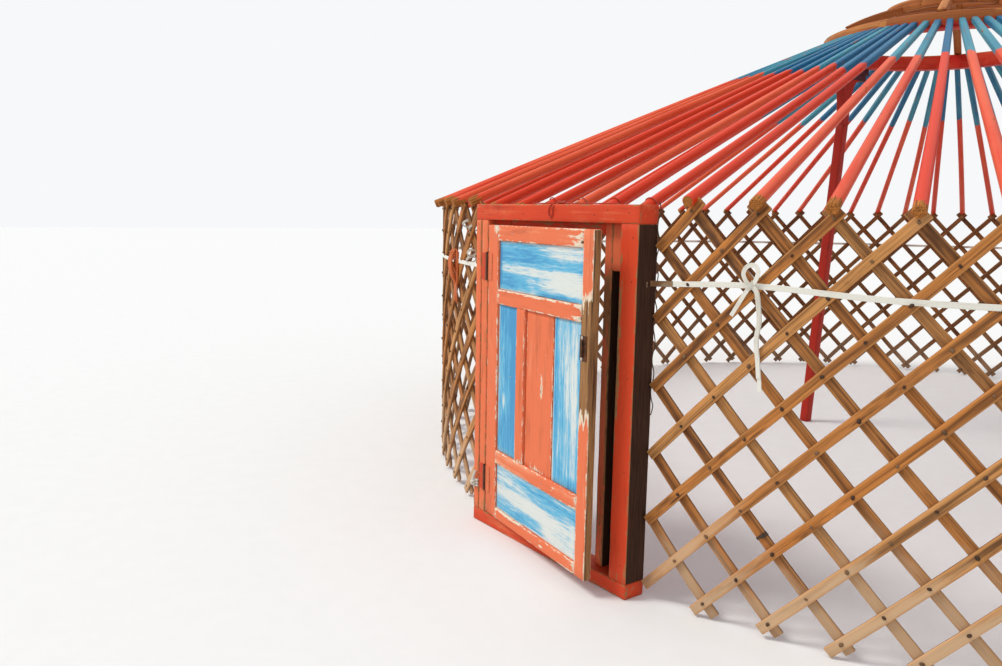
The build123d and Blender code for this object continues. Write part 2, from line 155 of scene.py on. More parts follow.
class YurtDoorSizes(bpy.types.PropertyGroup):
    """Sizes of the door's boards."""

    arris: length("Board arris", "Worn radius of the boards' edges", 0.004)
    ring_step: length("Board step", "Distance between the rings of points along a board", 0.03)
    rest_angle: turn("Rest angle", "How far the leaf stands open", math.radians(8))
    nail_radius: length("Nail radius", "Radius of a nail's head", 0.0035)
    left_board: length("Left board", "Width of the left post's outer board", 0.04)
    seam: length("Seam", "Gap between the left post's two boards", 0.004)
    strip_width: length("Strip width", "Width of the strip beside the groove", 0.042)
    groove_head: length("Groove head", "Height at which the groove beside the right post ends", 1.25)
    groove_depth: length("Groove depth", "Depth of the groove beside the right post", 0.04)
    lock_edge: length("Lock edge", "How far the lock stile's worn edge is from the stile's middle", 0.0345)
    handle_height: length("Handle height", "Where hands have worn the lock stile", 0.86)


class YurtColours(bpy.types.PropertyGroup):
    """Colours of the finishes."""

    lath: colour("Lath wood", "Oiled, sun-warmed lath wood", (0.54, 0.19, 0.035))
    lath_pale: colour("Pale lath wood", "Dry, paler lath wood", (0.60, 0.27, 0.08))
    # lath_dark also gives the painted shade on the laths' room faces and on the inner layer
    lath_dark: colour("Dark lath wood", "Dark streaks and handled stretches", (0.06, 0.02, 0.006))
    lath_grey: colour("Weathered lath wood", "Weathered wood near the ground", (0.60, 0.40, 0.235))
    pole_red: colour("Pole red", "Vermilion paint on the poles", (0.66, 0.038, 0.007))
    pole_faded: colour("Faded pole red", "Sun-faded paint on the poles", (0.74, 0.105, 0.036))
    pole_blue: colour("Pole blue", "Blue paint at the poles' tips", (0.008, 0.12, 0.25))
    pole_blue_faded: colour("Faded pole blue", "Faded blue paint at the poles' tips", (0.05, 0.26, 0.34))
    pillar_red: colour("Pillar red", "Deep red paint on the pillars", (0.42, 0.02, 0.008))
    pillar_board: colour("Pillar board", "Dark paint on the pillar's top board", (0.085, 0.02, 0.028))
    frame_red: colour("Frame red", "Worn red paint on the door frame", (0.62, 0.055, 0.014))
    frame_faded: colour("Faded frame red", "Faded paint on the door frame", (0.72, 0.17, 0.066))
    # leaf_red and leaf_faded also paint the right stop paler, as painted light
    leaf_red: colour("Leaf red", "Salmon paint on the leaf", (0.74, 0.165, 0.065))
    leaf_faded: colour("Faded leaf red", "Faded salmon paint on the leaf", (0.82, 0.32, 0.17))
    ground_coat: colour("Ground coat", "Pale ground under the leaf's paint", (0.74, 0.62, 0.47))
    panel_blue: colour("Panel blue", "Blue paint on the panels", (0.10, 0.42, 0.63))
    panel_deep: colour("Deep panel blue", "Blue paint where it isn't faded", (0.025, 0.22, 0.48))
    panel_washed: colour("Washed panel", "Paint washed out to white", (0.66, 0.69, 0.65))
    raw_wood: colour("Raw wood", "Wood where the paint is gone", (0.33, 0.16, 0.06))
    # old_wood, darkened further, is also the painted shade on the door frame's dark side faces and in the
    # groove
    old_wood: colour("Old wood", "Dark, handled wood", (0.075, 0.028, 0.012))
    crown_wood: colour("Crown wood", "Worn wood of the crown", (0.34, 0.095, 0.02))
    crown_pale: colour("Pale crown wood", "Paler wood of the crown", (0.56, 0.21, 0.055))
    crown_red: colour("Crown red", "Red paint inside the crown's rim", (0.52, 0.012, 0.004))
    crown_faded: colour("Faded crown red", "Faded red paint inside the crown's rim", (0.58, 0.05, 0.02))
    panel_grime: colour("Panel grime", "Dirt in the panels' grain", (0.10, 0.15, 0.18))
    iron: colour("Iron", "Dark iron", (0.055, 0.028, 0.017))
    rust: colour("Rust", "Rust on the iron", (0.17, 0.06, 0.022))
    steel: colour("Steel", "Nail heads rubbed bright", (0.55, 0.5, 0.44))
    steel_rust: colour("Steel rust", "Rust on the nail heads", (0.2, 0.1, 0.05))
    band: colour("Band", "White woven band", (0.80, 0.77, 0.68))
    orange_rope: colour("Orange rope", "Faded orange rope", (0.62, 0.14, 0.03))
    red_cord: colour("Red cord", "Thin red cord", (0.45, 0.035, 0.012))
    white_rope: colour("White rope", "Pale cotton rope", (0.62, 0.58, 0.50))
    dark_cord: colour("Dark cord", "Dark hair cord", (0.06, 0.035, 0.02))
    thong: colour("Thong", "Brown thong of hide", (0.22, 0.10, 0.035))
    cloth_dirt: colour("Cloth dirt", "Dirt on cloth and pale rope", (0.45, 0.38, 0.28))
    cord_dust: colour("Cord dust", "Dust on the dark cord", (0.07, 0.045, 0.03))
    hide: colour("Hide", "Knots of hide", (0.045, 0.02, 0.009))
    hide_dry: colour("Dry hide", "Dry, paler hide", (0.19, 0.10, 0.045))
    floor: colour("Floor", "Pale floor", (0.80, 0.80, 0.79))
    sky: colour("Sky", "Light from all round", (0.93, 0.96, 1.0))
    backdrop: colour("Backdrop", "What is seen behind the yurt", (0.93, 0.94, 0.95))
    key: colour("Key light", "Warm main light", (1.0, 0.97, 0.92))


class YurtTies(bpy.types.PropertyGroup):
    """Sizes of the band, its bow and the lashings."""

    knot_angle: turn("Knot angle", "Where the band's bow is, from the door's middle", 0.297)
    knot_lift: length("Knot lift", "How far the bow pulls the band up", 0.022)
    band_thickness: length("Band thickness", "Thickness of the band's cloth", 0.0022)
    band_gap: length("Band gap", "Gap between the laths and the band", 0.0006)
    tape_width: length("Tape width", "Width of the bow's tape", 0.015)
    cord: length("Cord", "Thickness of the thin cords", 0.005)
    rope: length("Rope", "Thickness of the ropes", 0.012)
    dark_tie_column: FloatProperty(
        name="Dark tie column", description="Where along the wall a dark cord is tied", default=3.62
    )
    dark_tie_lath: count("Dark tie lath", "Column where the tied lath meets the lowest crossings", 6)
    bundle_angle: turn("Bundle angle", "Where the orange rope is tied, from the door's middle", -0.332)
    bundle_head: length("Bundle head", "Height of the orange rope's knot", 1.27)
    bundle_length: length("Bundle length", "Length of the orange rope's strands", 0.28)


class YurtStage(bpy.types.PropertyGroup):
    """The floor, the light and the camera."""

    camera_x: length("Camera X", "Camera's place across", 2.6554)
    camera_y: length("Camera Y", "Camera's place in front of the door", -5.2272)
    camera_z: length("Camera height", "Camera's height", 1.465)
    yaw: turn("Yaw", "Heading, clockwise from +Y", -0.9467)
    pitch: turn("Pitch", "How far the camera looks down", 0.1453)
    roll: turn("Roll", "How far the camera leans", 0.016)
    focal_pixels: FloatProperty(
        name="Focal length", description="In pixels of a picture 1002 pixels wide", default=826.31
    )
    key_strength: FloatProperty(name="Key light", description="Strength of the soft main light", default=1.9)
    sky_strength: FloatProperty(name="Sky light", description="Strength of the light all round", default=0.78)
    key_spread: turn("Key spread", "How wide the main light looks, for soft shadows", math.radians(18))
    floor_size: length("Floor size", "Half the floor's width", 60.0)
    floor_drop: length("Floor drop", "How far the floor is below the laths' feet", 0.0005)


PICTURE_WIDTH = 1002
SENSOR_WIDTH = 36.0
KEY_DIRECTION = Vector((0.45, 0.62, -0.95))
NEAR_CLIP = 0.05
FAR_CLIP = 200
FRONT = Vector((0, -1, 0))
UP = Vector((0, 0, 1))
POLE_SIDES = 16
ON_FACE = 0.0005  # how near a face a point counts as lying on it, in metres
BARE_AND_SHADED = 2.0  # the coat value of bare wood, coloured very dark as painted shade
RIPPLES = (9, 40)  # a worn surface's ripples a metre, along and across a bar


def at(angle, radius, height=0.0):
    """A point at an angle from the door's middle, counter-clockwise seen from above."""
    return Vector((radius * math.sin(angle), -radius * math.cos(angle), height))


def level_side(angle):
    """The level direction along the wall at an angle."""
    return Vector((math.cos(angle), math.sin(angle), 0))


def clamped(value):
    return min(1.0, max(0.0, value))


def eased(value):
    """A share from 0 to 1 with soft ends."""
    part = clamped(value)
    return part * part * (3 - 2 * part)


# Meshes


def rounded_board(width, thickness, arris, face_step=0.02):
    """A board's section, its corners rounded to the arris, with points across its faces no wider apart
    than the step. Each point is (across, outward, edge), where edge is 1 on a corner and 0 on a face."""
    reach = (width / 2 - arris, thickness / 2 - arris)
    corners = ((1, 1), (-1, 1), (-1, -1), (1, -1))

    def rounded(quarter, step):
        side, face = corners[quarter % 4]
        angle = (quarter + step / 2) * math.pi / 2
        return side * reach[0] + arris * math.cos(angle), face * reach[1] + arris * math.sin(angle)

    points = []
    for quarter in range(4):
        points += [(*rounded(quarter, step), 1.0) for step in range(3)]
        x, y = rounded(quarter, 2)
        next_x, next_y = rounded(quarter + 1, 0)
        run = math.hypot(next_x - x, next_y - y)
        inset = min(arris * 2.5, run / 3)
        pieces = max(1, math.ceil((run - 2 * inset) / face_step))
        for i in range(pieces + 1):
            part = (inset + (run - 2 * inset) * i / pieces) / run
            points.append((x + (next_x - x) * part, y + (next_y - y) * part, 0.0))
    return points


def round_section(radius, sides):
    """A round section; no point on it counts as an edge."""
    turns = [2 * math.pi * i / sides for i in range(sides)]
    return [(radius * math.cos(t), radius * math.sin(t), 0.0) for t in turns]


class Bars:
    """Bars of wood, cloth or cord gathered into one mesh. Each point keeps its place along and across its own
    bar for the grain, how near an edge it is, its bar's tone and its coat value, which tells how faded or
    coated it is and, on some faces, how much painted shade it takes."""

    def __init__(self, seed):
        self.points = []
        self.faces = []
        self.grain = []
        self.edge = []
        self.tone = []
        self.coat = []
        self.random = random.Random(seed)

    def point(self, place, grain, edge, tone, coat):
        self.points.append(place)
        self.grain.append(grain)
        self.edge.append(edge)
        self.tone.append(tone)
        self.coat.append(coat)

    def bar(self, section, stations, coat=None, tone=None, bevel=0.0, rough=0.0):
        """Adds a bar. A station is (centre, across, outward, along, across scale, outward scale)."""
        tone = self.random.random() if tone is None else tone
        shift = self.random.uniform(-50, 50)
        rings = bevelled(stations, section, bevel) if bevel else stations
        first = len(self.points)
        for centre, across, outward, along, wide, deep in rings:
            for x, y, edge in section:
                place = centre + across * (x * wide) + outward * (y * deep)
                if rough:
                    ripple = noise.noise(
                        Vector((along * RIPPLES[0] + shift, x * RIPPLES[1], y * RIPPLES[1]))
                    )
                    away = (across * x + outward * y).normalized()
                    place = place + away * ripple * rough
                value = coat(along, x * wide, y * deep) if coat else 0.0
                self.point(place, shifted(along, x * wide, y * deep, shift), edge, tone, value)
        self.skin(first, len(rings), len(section))

    def skin(self, first, rows, size):
        """Adds the faces between rings of so many points, and the two end faces."""
        for row in range(rows - 1):
            low = first + row * size
            for i in range(size):
                j = (i + 1) % size
                self.faces.append((low + i, low + j, low + size + j, low + size + i))
        self.faces.append(tuple(reversed(range(first, first + size))))
        self.faces.append(tuple(range(first + (rows - 1) * size, first + rows * size)))

    def object(self, name, material, sharp=50):
        """The mesh as an object."""
        mesh = bpy.data.meshes.new(name)
        mesh.from_pydata(self.points, [], self.faces)
        for label, kind, field, values in (
            ("grain", "FLOAT_VECTOR", "vector", [v for place in self.grain for v in place]),
            ("edge", "FLOAT", "value", self.edge),
            ("tone", "FLOAT", "value", self.tone),
            ("coat", "FLOAT", "value", self.coat),
        ):
            mesh.attributes.new(label, kind, "POINT").data.foreach_set(field, values)
        mesh.validate()
        mesh.update()
        mesh.polygons.foreach_set("use_smooth", [True] * len(mesh.polygons))
        mesh.set_sharp_from_angle(angle=math.radians(sharp))
        piece = bpy.data.objects.new(name, mesh)
        bpy.context.scene.collection.objects.link(piece)
        piece.data.materials.append(material)
        return piece


def shifted(along, x, y, shift):
    """A place in the grain, moved so that no two bars are cut from the same wood."""
    return (along + shift, x + shift * 0.37, y + shift * 0.61)


def bevelled(rings, section, bevel):
    """Draws in a bar's two ends so that their edges are chamfered."""
    half_width = max(abs(p[0]) for p in section)
    half_depth = max(abs(p[1]) for p in section)
    result = list(rings)
    for index, inner, sign in ((0, 1, 1), (-1, -2, -1)):
        centre, across, outward, along, wide, deep = rings[index]
        back = (rings[inner][0] - centre).normalized()
        shrunk = (wide * (1 - bevel / half_width), deep * (1 - bevel / half_depth))
        result[index] = (centre, across, outward, along, *shrunk)
        near = (centre + back * bevel, across, outward, along + sign * bevel, wide, deep)
        result.insert(1 if index == 0 else len(result) - 1, near)
    return result


def straight(start, end, outward, step):
    """Stations along a straight bar."""
    run = end - start
    direction = run.normalized()
    outward = (outward - direction * outward.dot(direction)).normalized()
    across = direction.cross(outward)
    steps = max(2, math.ceil(run.length / step))
    parts = [i / steps for i in range(steps + 1)]
    return [(start + run * part, across, outward, run.length * part, 1, 1) for part in parts]


def smooth_path(points, step):
    """Places no further apart than the step on a smooth curve through the points (Catmull-Rom)."""
    result = []
    for i in range(len(points) - 1):
        a, b, c, d = (points[min(max(j, 0), len(points) - 1)] for j in range(i - 1, i + 3))
        steps = max(1, math.ceil((c - b).length / step))
        for k in range(steps):
            t = k / steps
            bend = (2 * a - 5 * b + 4 * c - d) * t ** 2 + (3 * b - a - 3 * c + d) * t ** 3
            result.append(0.5 * (2 * b + (c - a) * t + bend))
    return result + [points[-1]]


def laid(points, outward, step=0.006, taper=None):
    """Stations along a tape or rope through the points, with its face turned outwards. The taper gives
    its size at a share of its length."""
    path = smooth_path(points, step)
    stations = []
    along = 0.0
    face = outward
    for i, place in enumerate(path):
        direction = (path[min(i + 1, len(path) - 1)] - path[max(i - 1, 0)]).normalized()
        face = (face - direction * face.dot(direction)).normalized()
        size = taper(i / (len(path) - 1)) if taper else 1
        stations.append((place, direction.cross(face), face, along, size, size))
        along += (path[min(i + 1, len(path) - 1)] - place).length
    return stations


def coil(centre, axis, side, radius, turns, pitch, dice, squeeze=1.0):
    """Points of a rope wound round an axis, tightly but not evenly."""
    other = axis.cross(side)
    points = []
    steps = round(turns * 8)
    for i in range(steps + 1):
        angle = i * math.pi / 4
        reach = radius * (1 + dice.uniform(-0.05, 0.08))
        lift = axis * (pitch * (i / 8 - turns / 2) + dice.uniform(-0.1, 0.1) * pitch)
        around = side * reach * math.cos(angle) + other * reach * squeeze * math.sin(angle)
        points.append(centre + around + lift)
    return points


def ride(piece, body, slot, *nodes):
    """Hangs a finished piece on its body in place of the nodes that it stands for."""
    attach(piece, body)
    if nodes:
        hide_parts(*nodes)
    return piece


# Finishes


class Finish:
    """A material that is being built up from nodes."""

    def __init__(self, name, specular=0.35):
        self.material = bpy.data.materials.new(name)
        self.material.use_nodes = True
        self.tree = self.material.node_tree
        self.shader = self.tree.nodes["Principled BSDF"]
        self.shader.inputs["Specular IOR Level"].default_value = specular

    def node(self, kind, *items, **inputs):
        """Adds a node; an input, by place or by name, is given a value or another node's socket."""
        made = self.tree.nodes.new("ShaderNode" + kind)
        for key, item in [*enumerate(items), *inputs.items()]:
            self.join(made.inputs[key], item)
        return made

    def join(self, socket, value):
        if isinstance(value, bpy.types.NodeSocket):
            self.tree.links.new(value, socket)
        elif isinstance(socket.default_value, (int, float)):
            socket.default_value = value
        else:
            socket.default_value = (*value, 1.0) if len(socket.default_value) == 4 else tuple(value)

    def attribute(self, name, output="Fac"):
        made = self.node("Attribute")
        made.attribute_name = name
        return made.outputs[output]

    def grain(self):
        """The place along, across and through the bar."""
        return self.attribute("grain", "Vector")

    def stretched(self, vector, scale):
        made = self.node("VectorMath", vector, scale)
        made.operation = "MULTIPLY"
        return made.outputs[0]

    def noise(self, vector, scale, detail=4.0, roughness=0.55):
        """Noise with so many lumps a metre along, across and through the bar."""
        settings = {"Scale": 1.0, "Detail": detail, "Roughness": roughness}
        return self.node("TexNoise", Vector=self.stretched(vector, scale), **settings).outputs["Fac"]

    def cells(self, vector, scale):
        made = self.node("TexVoronoi", Vector=self.stretched(vector, scale), Scale=1.0)
        return made.outputs["Distance"]

    def math(self, kind, a, b=0.0):
        made = self.node("Math", a, b)
        made.operation = kind
        return made.outputs[0]

    def times(self, a, b):
        return self.math("MULTIPLY", a, b)

    def total(self, *terms):
        """The sum of some terms; one with a weight is a pair (value, weight)."""
        weighted = [self.times(*term) if isinstance(term, tuple) else term for term in terms]
        result = weighted[0]
        for term in weighted[1:]:
            result = self.math("ADD", result, term)
        return result

    def remap(self, value, low, high, to_low=0.0, to_high=1.0):
        """Maps a value from one range to another with soft ends."""
        made = self.node("MapRange")
        made.interpolation_type = "SMOOTHSTEP"
        for index, item in enumerate((value, low, high, to_low, to_high)):
            self.join(made.inputs[index], item)
        return made.outputs[0]

    def mix(self, share_of_b, a, b):
        made = self.tree.nodes.new("ShaderNodeMix")
        made.data_type = "RGBA"
        for index, item in ((0, share_of_b), (6, a), (7, b)):  # the sockets for mixing colours
            self.join(made.inputs[index], item)
        return made.outputs[2]

    def layered(self, base, *layers):
        """Lays colours over a base one after another, each by its own strength."""
        for strength, tint in layers:
            base = self.mix(strength, base, tint)
        return base

    def place(self):
        """The point's own place, in metres."""
        return self.node("TexCoord").outputs["Object"]

    def part(self, vector, axis):
        return self.node("SeparateXYZ", Vector=vector).outputs[axis]

    def done(self, base, roughness, height=None, bump=0.0, depth=0.0):
        """Wires the finished colour, roughness and bump to the shader."""
        self.join(self.shader.inputs["Base Color"], base)
        self.join(self.shader.inputs["Roughness"], roughness)
        if height is not None:
            made = self.node("Bump", Strength=bump, Distance=depth, Height=height)
            self.join(self.shader.inputs["Normal"], made.outputs[0])
        return self.material


def lath_finish(colours, name="lath_wood", shade=0.0):
    """Sawn wood: warm and streaked, darker where hands polish it, grey near the ground. The face towards the
    room and, by the shade value, the inner layer are darkened as painted shade.
    """
    f = Finish(name)
    grain = f.grain()
    fibre = f.noise(grain, (7, 260, 260), 6, 0.6)
    streak = f.noise(grain, (1.6, 55, 55))
    stain = f.noise(grain, (2.4, 9, 9), 4, 0.6)
    saw = f.noise(grain, (190, 6, 6), 2)
    height = f.part(f.place(), 2)
    tone = f.attribute("tone")
    handled = f.total(stain, f.remap(height, 1.0, 1.5, 0.0, 0.07))
    low = f.total(
        f.remap(height, 0.0, 0.7, 0.6, 0.0), f.remap(stain, 0.3, 0.62, 0.14, -0.2),
        f.remap(tone, 0.6, 1.0, 0.0, 0.12)
    )
    knot_mark = f.remap(f.cells(grain, (2.6, 24, 24)), 0.05, 0.16, 0.75, 0.0)
    worn = f.times(f.attribute("edge"), f.remap(streak, 0.3, 0.6, 0.15, 0.6))
    dark = colours.lath_dark
    wood = f.layered(
        colours.lath,
        (f.remap(tone, 0.2, 1.0), colours.lath_pale),
        (f.remap(streak, 0.38, 0.68, 0, 0.75), dark),
        (f.remap(fibre, 0.45, 0.72, 0, 0.6), dark),
        (f.remap(handled, 0.54, 0.70, 0, 0.85), dark),
        (f.remap(low, 0.12, 0.6, 0.0, 0.85), colours.lath_grey),
        (knot_mark, dark),
        (worn, colours.lath_pale),
        # painted shade on the face towards the room, where the coat value is 1
        (f.times(f.attribute("coat"), 0.55), dark),
        # painted shade over the whole inner layer, by the shade value
        (shade, dark),
    )
    return f.done(wood, f.remap(fibre, 0.3, 0.7, 0.62, 0.85), f.total(fibre, (saw, 0.35)), 0.45, 0.0015)


def painted_finish(name, paint, faded, ground, wood, dark, wear=0.5, fade=0.5, gloss=0.5, edge_wear=0.12):
    """Old paint on wood: faded in patches, worn through to its pale ground on edges and in chips, and to the
    wood where the coat value on the mesh nears 1. Where it is 2, the wood was never painted and is coloured
    very dark as painted shade."""
    f = Finish(name, 0.25)
    grain = f.grain()
    streak = f.noise(grain, (2.2, 60, 60), 5)
    fibre = f.noise(grain, (10, 300, 300), 6, 0.6)
    blotch = f.noise(grain, (4, 9, 9), 5, 0.6)
    chips = f.noise(grain, (15, 75, 75), 8, 0.68)
    ragged = f.noise(grain, (38, 150, 150), 7, 0.7)
    stain = f.noise(grain, (3.5, 22, 22), 6, 0.68)
    coat = f.attribute("coat")
    pale = f.total((blotch, 0.65), (streak, 0.45), f.remap(f.attribute("tone"), 0, 1, -0.1, 0.1))
    layer = f.layered(
        paint,
        (f.remap(pale, 0.74 - 0.35 * fade, 0.98 - 0.35 * fade), faded),
        (f.remap(fibre, 0.55, 0.78, 0, 0.4), paint * 0.35),
        (f.remap(stain, 0.5, 0.74, 0, 0.55), paint * 0.5),
    )
    under = f.layered(
        wood, (f.remap(streak, 0.45, 0.7), dark), (f.remap(fibre, 0.46, 0.72, 0, 0.7), dark * 0.5)
    )
    rub = f.total((chips, 0.7), (streak, 0.3), (coat, 0.4))
    limit = 0.74 - 0.14 * wear
    rim = f.remap(f.attribute("edge"), 0.5, 1.0)
    border = f.times(rim, f.remap(ragged, 0.42, 0.66, 0.0, edge_wear * 1.6))
    bare = f.remap(rub, limit + 0.07, limit + 0.1)
    # painted shade: the very dark colour where the coat value reaches 2
    shaded_bare_wood = f.mix(f.remap(fibre, 0.4, 0.65), dark * 0.75, dark * 0.3)
    base = f.layered(
        layer,
        (f.remap(f.total(rub, border), limit - 0.03, limit), ground),
        (bare, under),
        (f.remap(coat, 1.4, 1.7), shaded_bare_wood),
    )
    height = f.math("SUBTRACT", f.times(fibre, 0.5), f.times(bare, 0.8))
    return f.done(base, f.remap(bare, 0, 1, 0.75 - 0.4 * gloss, 0.86), height, 0.35, 0.0012)


def washed_finish(colours):
    """Blue paint on panels, washed out to white along the grain; the coat value adds to the washing."""
    f = Finish("panel_blue_washed")
    grain = f.grain()
    streak = f.noise(grain, (2.0, 60, 60), 6, 0.66)
    fibre = f.noise(grain, (9, 260, 260), 6, 0.6)
    scratch = f.noise(grain, (14, 130, 130), 6, 0.7)
    blotch = f.noise(grain, (3.6, 12, 12), 5, 0.6)
    value = f.total(
        (streak, 0.45), (blotch, 0.3), (scratch, 0.55), -0.09, (f.attribute("coat"), 0.16),
        (f.attribute("edge"), 0.12)
    )
    pale = f.remap(value, 0.52, 0.74)
    base = f.layered(
        colours.panel_blue,
        (pale, colours.panel_washed),
        (f.remap(value, 0.54, 0.40, 0, 0.75), colours.panel_deep),
        (f.remap(fibre, 0.55, 0.78, 0, 0.4), colours.panel_grime),
    )
    return f.done(base, f.remap(pale, 0, 1, 0.5, 0.8), f.total(fibre, scratch), 0.35, 0.0012)


def pole_finish(colours):
    """Worn paint on the roof poles: red, then blue towards the tip, and bare at the butt.
    The coat value is 0 on bare wood, 1 on red and 2 on blue."""
    f = Finish("pole_paint", 0.22)
    grain = f.grain()
    streak = f.noise(grain, (1.2, 60, 60), 5)
    fibre = f.noise(grain, (8, 260, 260), 6, 0.6)
    blotch = f.noise(grain, (2.0, 14, 14), 5, 0.6)
    chips = f.noise(grain, (11, 55, 55), 8, 0.66)
    pale = f.total((blotch, 0.6), (streak, 0.4), f.remap(f.attribute("tone"), 0, 1, -0.16, 0.16))
    red = f.mix(f.remap(pale, 0.42, 0.72), colours.pole_red, colours.pole_faded)
    blue = f.mix(f.remap(pale, 0.42, 0.66), colours.pole_blue, colours.pole_blue_faded)
    ragged = f.total(f.attribute("coat"), f.remap(chips, 0.3, 0.7, -0.3, 0.3))
    paint = f.mix(f.remap(ragged, 1.45, 1.55), red, blue)
    wood = f.mix(f.remap(fibre, 0.35, 0.7), colours.lath, colours.old_wood)
    rub = f.total(chips, (f.attribute("edge"), 0.05))
    bare = f.math("MAXIMUM", f.remap(rub, 0.66, 0.7), f.remap(ragged, 0.55, 0.4))
    height = f.math("SUBTRACT", f.times(fibre, 0.4), bare)
    return f.done(f.mix(bare, paint, wood), f.remap(bare, 0, 1, 0.45, 0.85), height, 0.3, 0.001)


def crown_finish(colours):
    """The crown: worn, oiled wood, painted red where the coat value is 1."""
    f = Finish("crown_wood", 0.25)
    grain = f.grain()
    fibre = f.noise(grain, (6, 200, 200), 6, 0.6)
    streak = f.noise(grain, (1.6, 45, 45), 5)
    blotch = f.noise(grain, (5, 12, 12), 5, 0.6)
    pale = f.total(streak, f.remap(f.attribute("tone"), 0, 1, -0.12, 0.12))
    wood = f.layered(
        colours.crown_wood,
        (f.remap(pale, 0.4, 0.7), colours.crown_pale),
        (f.remap(fibre, 0.45, 0.75, 0, 0.6), colours.old_wood),
        (f.remap(blotch, 0.58, 0.72, 0, 0.7), colours.old_wood),
    )
    red = f.mix(f.remap(blotch, 0.4, 0.65), colours.crown_red, colours.crown_faded)
    mask = f.remap(f.total(f.attribute("coat"), f.remap(fibre, 0.35, 0.65, 0.25, -0.25)), 0.45, 0.55)
    return f.done(f.mix(mask, wood, red), f.remap(mask, 0, 1, 0.65, 0.5), fibre, 0.4, 0.0015)


def rusted(f, colours):
    """Patches of rust, and the colour of the iron between and under them."""
    rust = f.noise(f.place(), (90, 90, 90), 6, 0.6)
    return rust, f.mix(f.remap(rust, 0.4, 0.65), colours.iron, colours.rust)


def iron_finish(colours):
    """Rusted, worn iron."""
    f = Finish("rusted_iron")
    rust, metal = rusted(f, colours)
    pits = f.noise(f.place(), (420, 420, 420), 4, 0.6)
    f.shader.inputs["Metallic"].default_value = 0.55
    return f.done(metal, f.remap(rust, 0.35, 0.65, 0.45, 0.8), pits, 0.4, 0.0008)


def plate_finish(name, colours, paint):
    """Iron on the hinge's barrel, and paint over its plates."""
    f = Finish(name)
    rust, metal = rusted(f, colours)
    streak = f.noise(f.place(), (60, 60, 4), 5)
    away = f.math("SUBTRACT", f.part(f.place(), 0), door_joint["pos_m"][0])
    on_plate = f.remap(f.math("ABSOLUTE", away), 0.0072, 0.0082)
    layer = f.layered(
        paint, (f.remap(streak, 0.35, 0.65), paint * 0.8), (f.remap(rust, 0.58, 0.64), colours.raw_wood)
    )
    return f.done(f.mix(on_plate, metal, layer), f.remap(rust, 0.35, 0.65, 0.45, 0.8), rust, 0.3, 0.0008)


def bright_finish(colours):
    """Nail heads, rubbed bright."""
    f = Finish("rubbed_steel")
    rust = f.noise(f.place(), (300, 300, 300), 5, 0.6)
    base = f.mix(f.remap(rust, 0.45, 0.7), colours.steel, colours.steel_rust)
    f.shader.inputs["Metallic"].default_value = 0.6
    return f.done(base, f.remap(rust, 0.4, 0.7, 0.35, 0.7), rust, 0.3, 0.0006)


def cloth_finish(name, tint, weave, dirt):
    """Woven tape or twisted cord, with so many threads a metre."""
    f = Finish(name)
    grain = f.grain()
    threads = f.noise(grain, (weave, weave * 1.6, weave * 1.6), 3, 0.5)
    soil = f.noise(grain, (6, 18, 18), 5, 0.6)
    base = f.layered(
        tint, (f.remap(soil, 0.5, 0.72, 0, 0.55), dirt), (f.remap(threads, 0.4, 0.7, 0, 0.3), tint * 0.5)
    )
    f.shader.inputs["Sheen Weight"].default_value = 0.15
    return f.done(base, f.remap(threads, 0.3, 0.7, 0.8, 0.95), threads, 0.5, 0.001)


def hide_finish(colours):
    """Dark dried hide."""
    f = Finish("dried_hide")
    lumps = f.noise(f.place(), (160, 160, 160), 4, 0.6)
    dry = f.total(lumps, f.attribute("tone"))
    base = f.mix(f.remap(dry, 0.8, 1.25), colours.hide, colours.hide_dry)
    return f.done(base, f.remap(lumps, 0.3, 0.7, 0.5, 0.8), lumps, 0.4, 0.001)


# Lattice wall


class WallGrid:
    """Where the wall's columns and crossings are."""

    def __init__(self, wall):
        self.wall = wall
        self.edge_angle = math.asin(wall.half_doorway / wall.ring_radius)
        self.per_section = 2 * wall.heads
        self.columns = wall.sections * self.per_section
        self.column_angle = (2 * math.pi - 2 * self.edge_angle) / self.columns
        self.column_width = wall.radius * self.column_angle
        self.level_step = (wall.head_crossing - wall.foot_crossing) / (wall.levels - 1)
        self.lean = math.atan2(self.level_step, self.column_width)
        self.half_height = wall.lath_width / 2 / math.cos(self.lean)

    def angle(self, column):
        return self.edge_angle + column * self.column_angle

    def point(self, column, height, offset=0.0):
        return at(self.angle(column), self.wall.radius + offset, height)

    def sunk(self, column, height):
        """A height after the wall has sagged, most at its head."""
        reach = column / self.wall.sag_width
        drop = self.wall.sag * eased(reach) * eased(2 - (reach - 1) / 2)
        return height - drop * height / self.wall.head_crossing

    def crossing(self, column, level):
        """The height of a crossing, which may lie between two levels."""
        return self.sunk(column, self.wall.foot_crossing + level * self.level_step)


def lath_stations(grid, begin, finish, start, rise, offset, dice):
    """Stations along one lath, which bends round the wall and isn't quite straight or even. Its line
    meets the lowest crossings at the start column. A rise of 1 climbs towards the higher columns, and -1
    towards the lower ones."""

    def height_of(column):
        return grid.crossing(column, rise * (column - start))

    wall = grid.wall
    climb = height_of(begin + 1) - height_of(begin)
    distance = (finish - begin) * math.hypot(grid.column_width, climb)
    steps = max(3, math.ceil(distance / wall.ring_step))
    bow = dice.uniform(-wall.bow, wall.bow)
    phase = dice.uniform(0, 100)
    stations = []
    for i in range(steps + 1):
        part = i / steps
        column = begin + (finish - begin) * part
        stray = noise.noise(Vector((part * distance * 2.2, phase, 0)))
        sway = bow * math.sin(math.pi * part) + wall.wander * stray
        outward = at(grid.angle(column), 1)
        along = (level_side(grid.angle(column)) * grid.column_width + UP * climb).normalized()
        across = along.cross(outward)
        centre = grid.point(column, height_of(column), offset) + across * sway
        wide = 1 + wall.uneven_width * noise.noise(Vector((part * distance * 3, phase, 5)))
        stations.append((centre, across, outward, distance * part, wide, 1.0))
    return stations


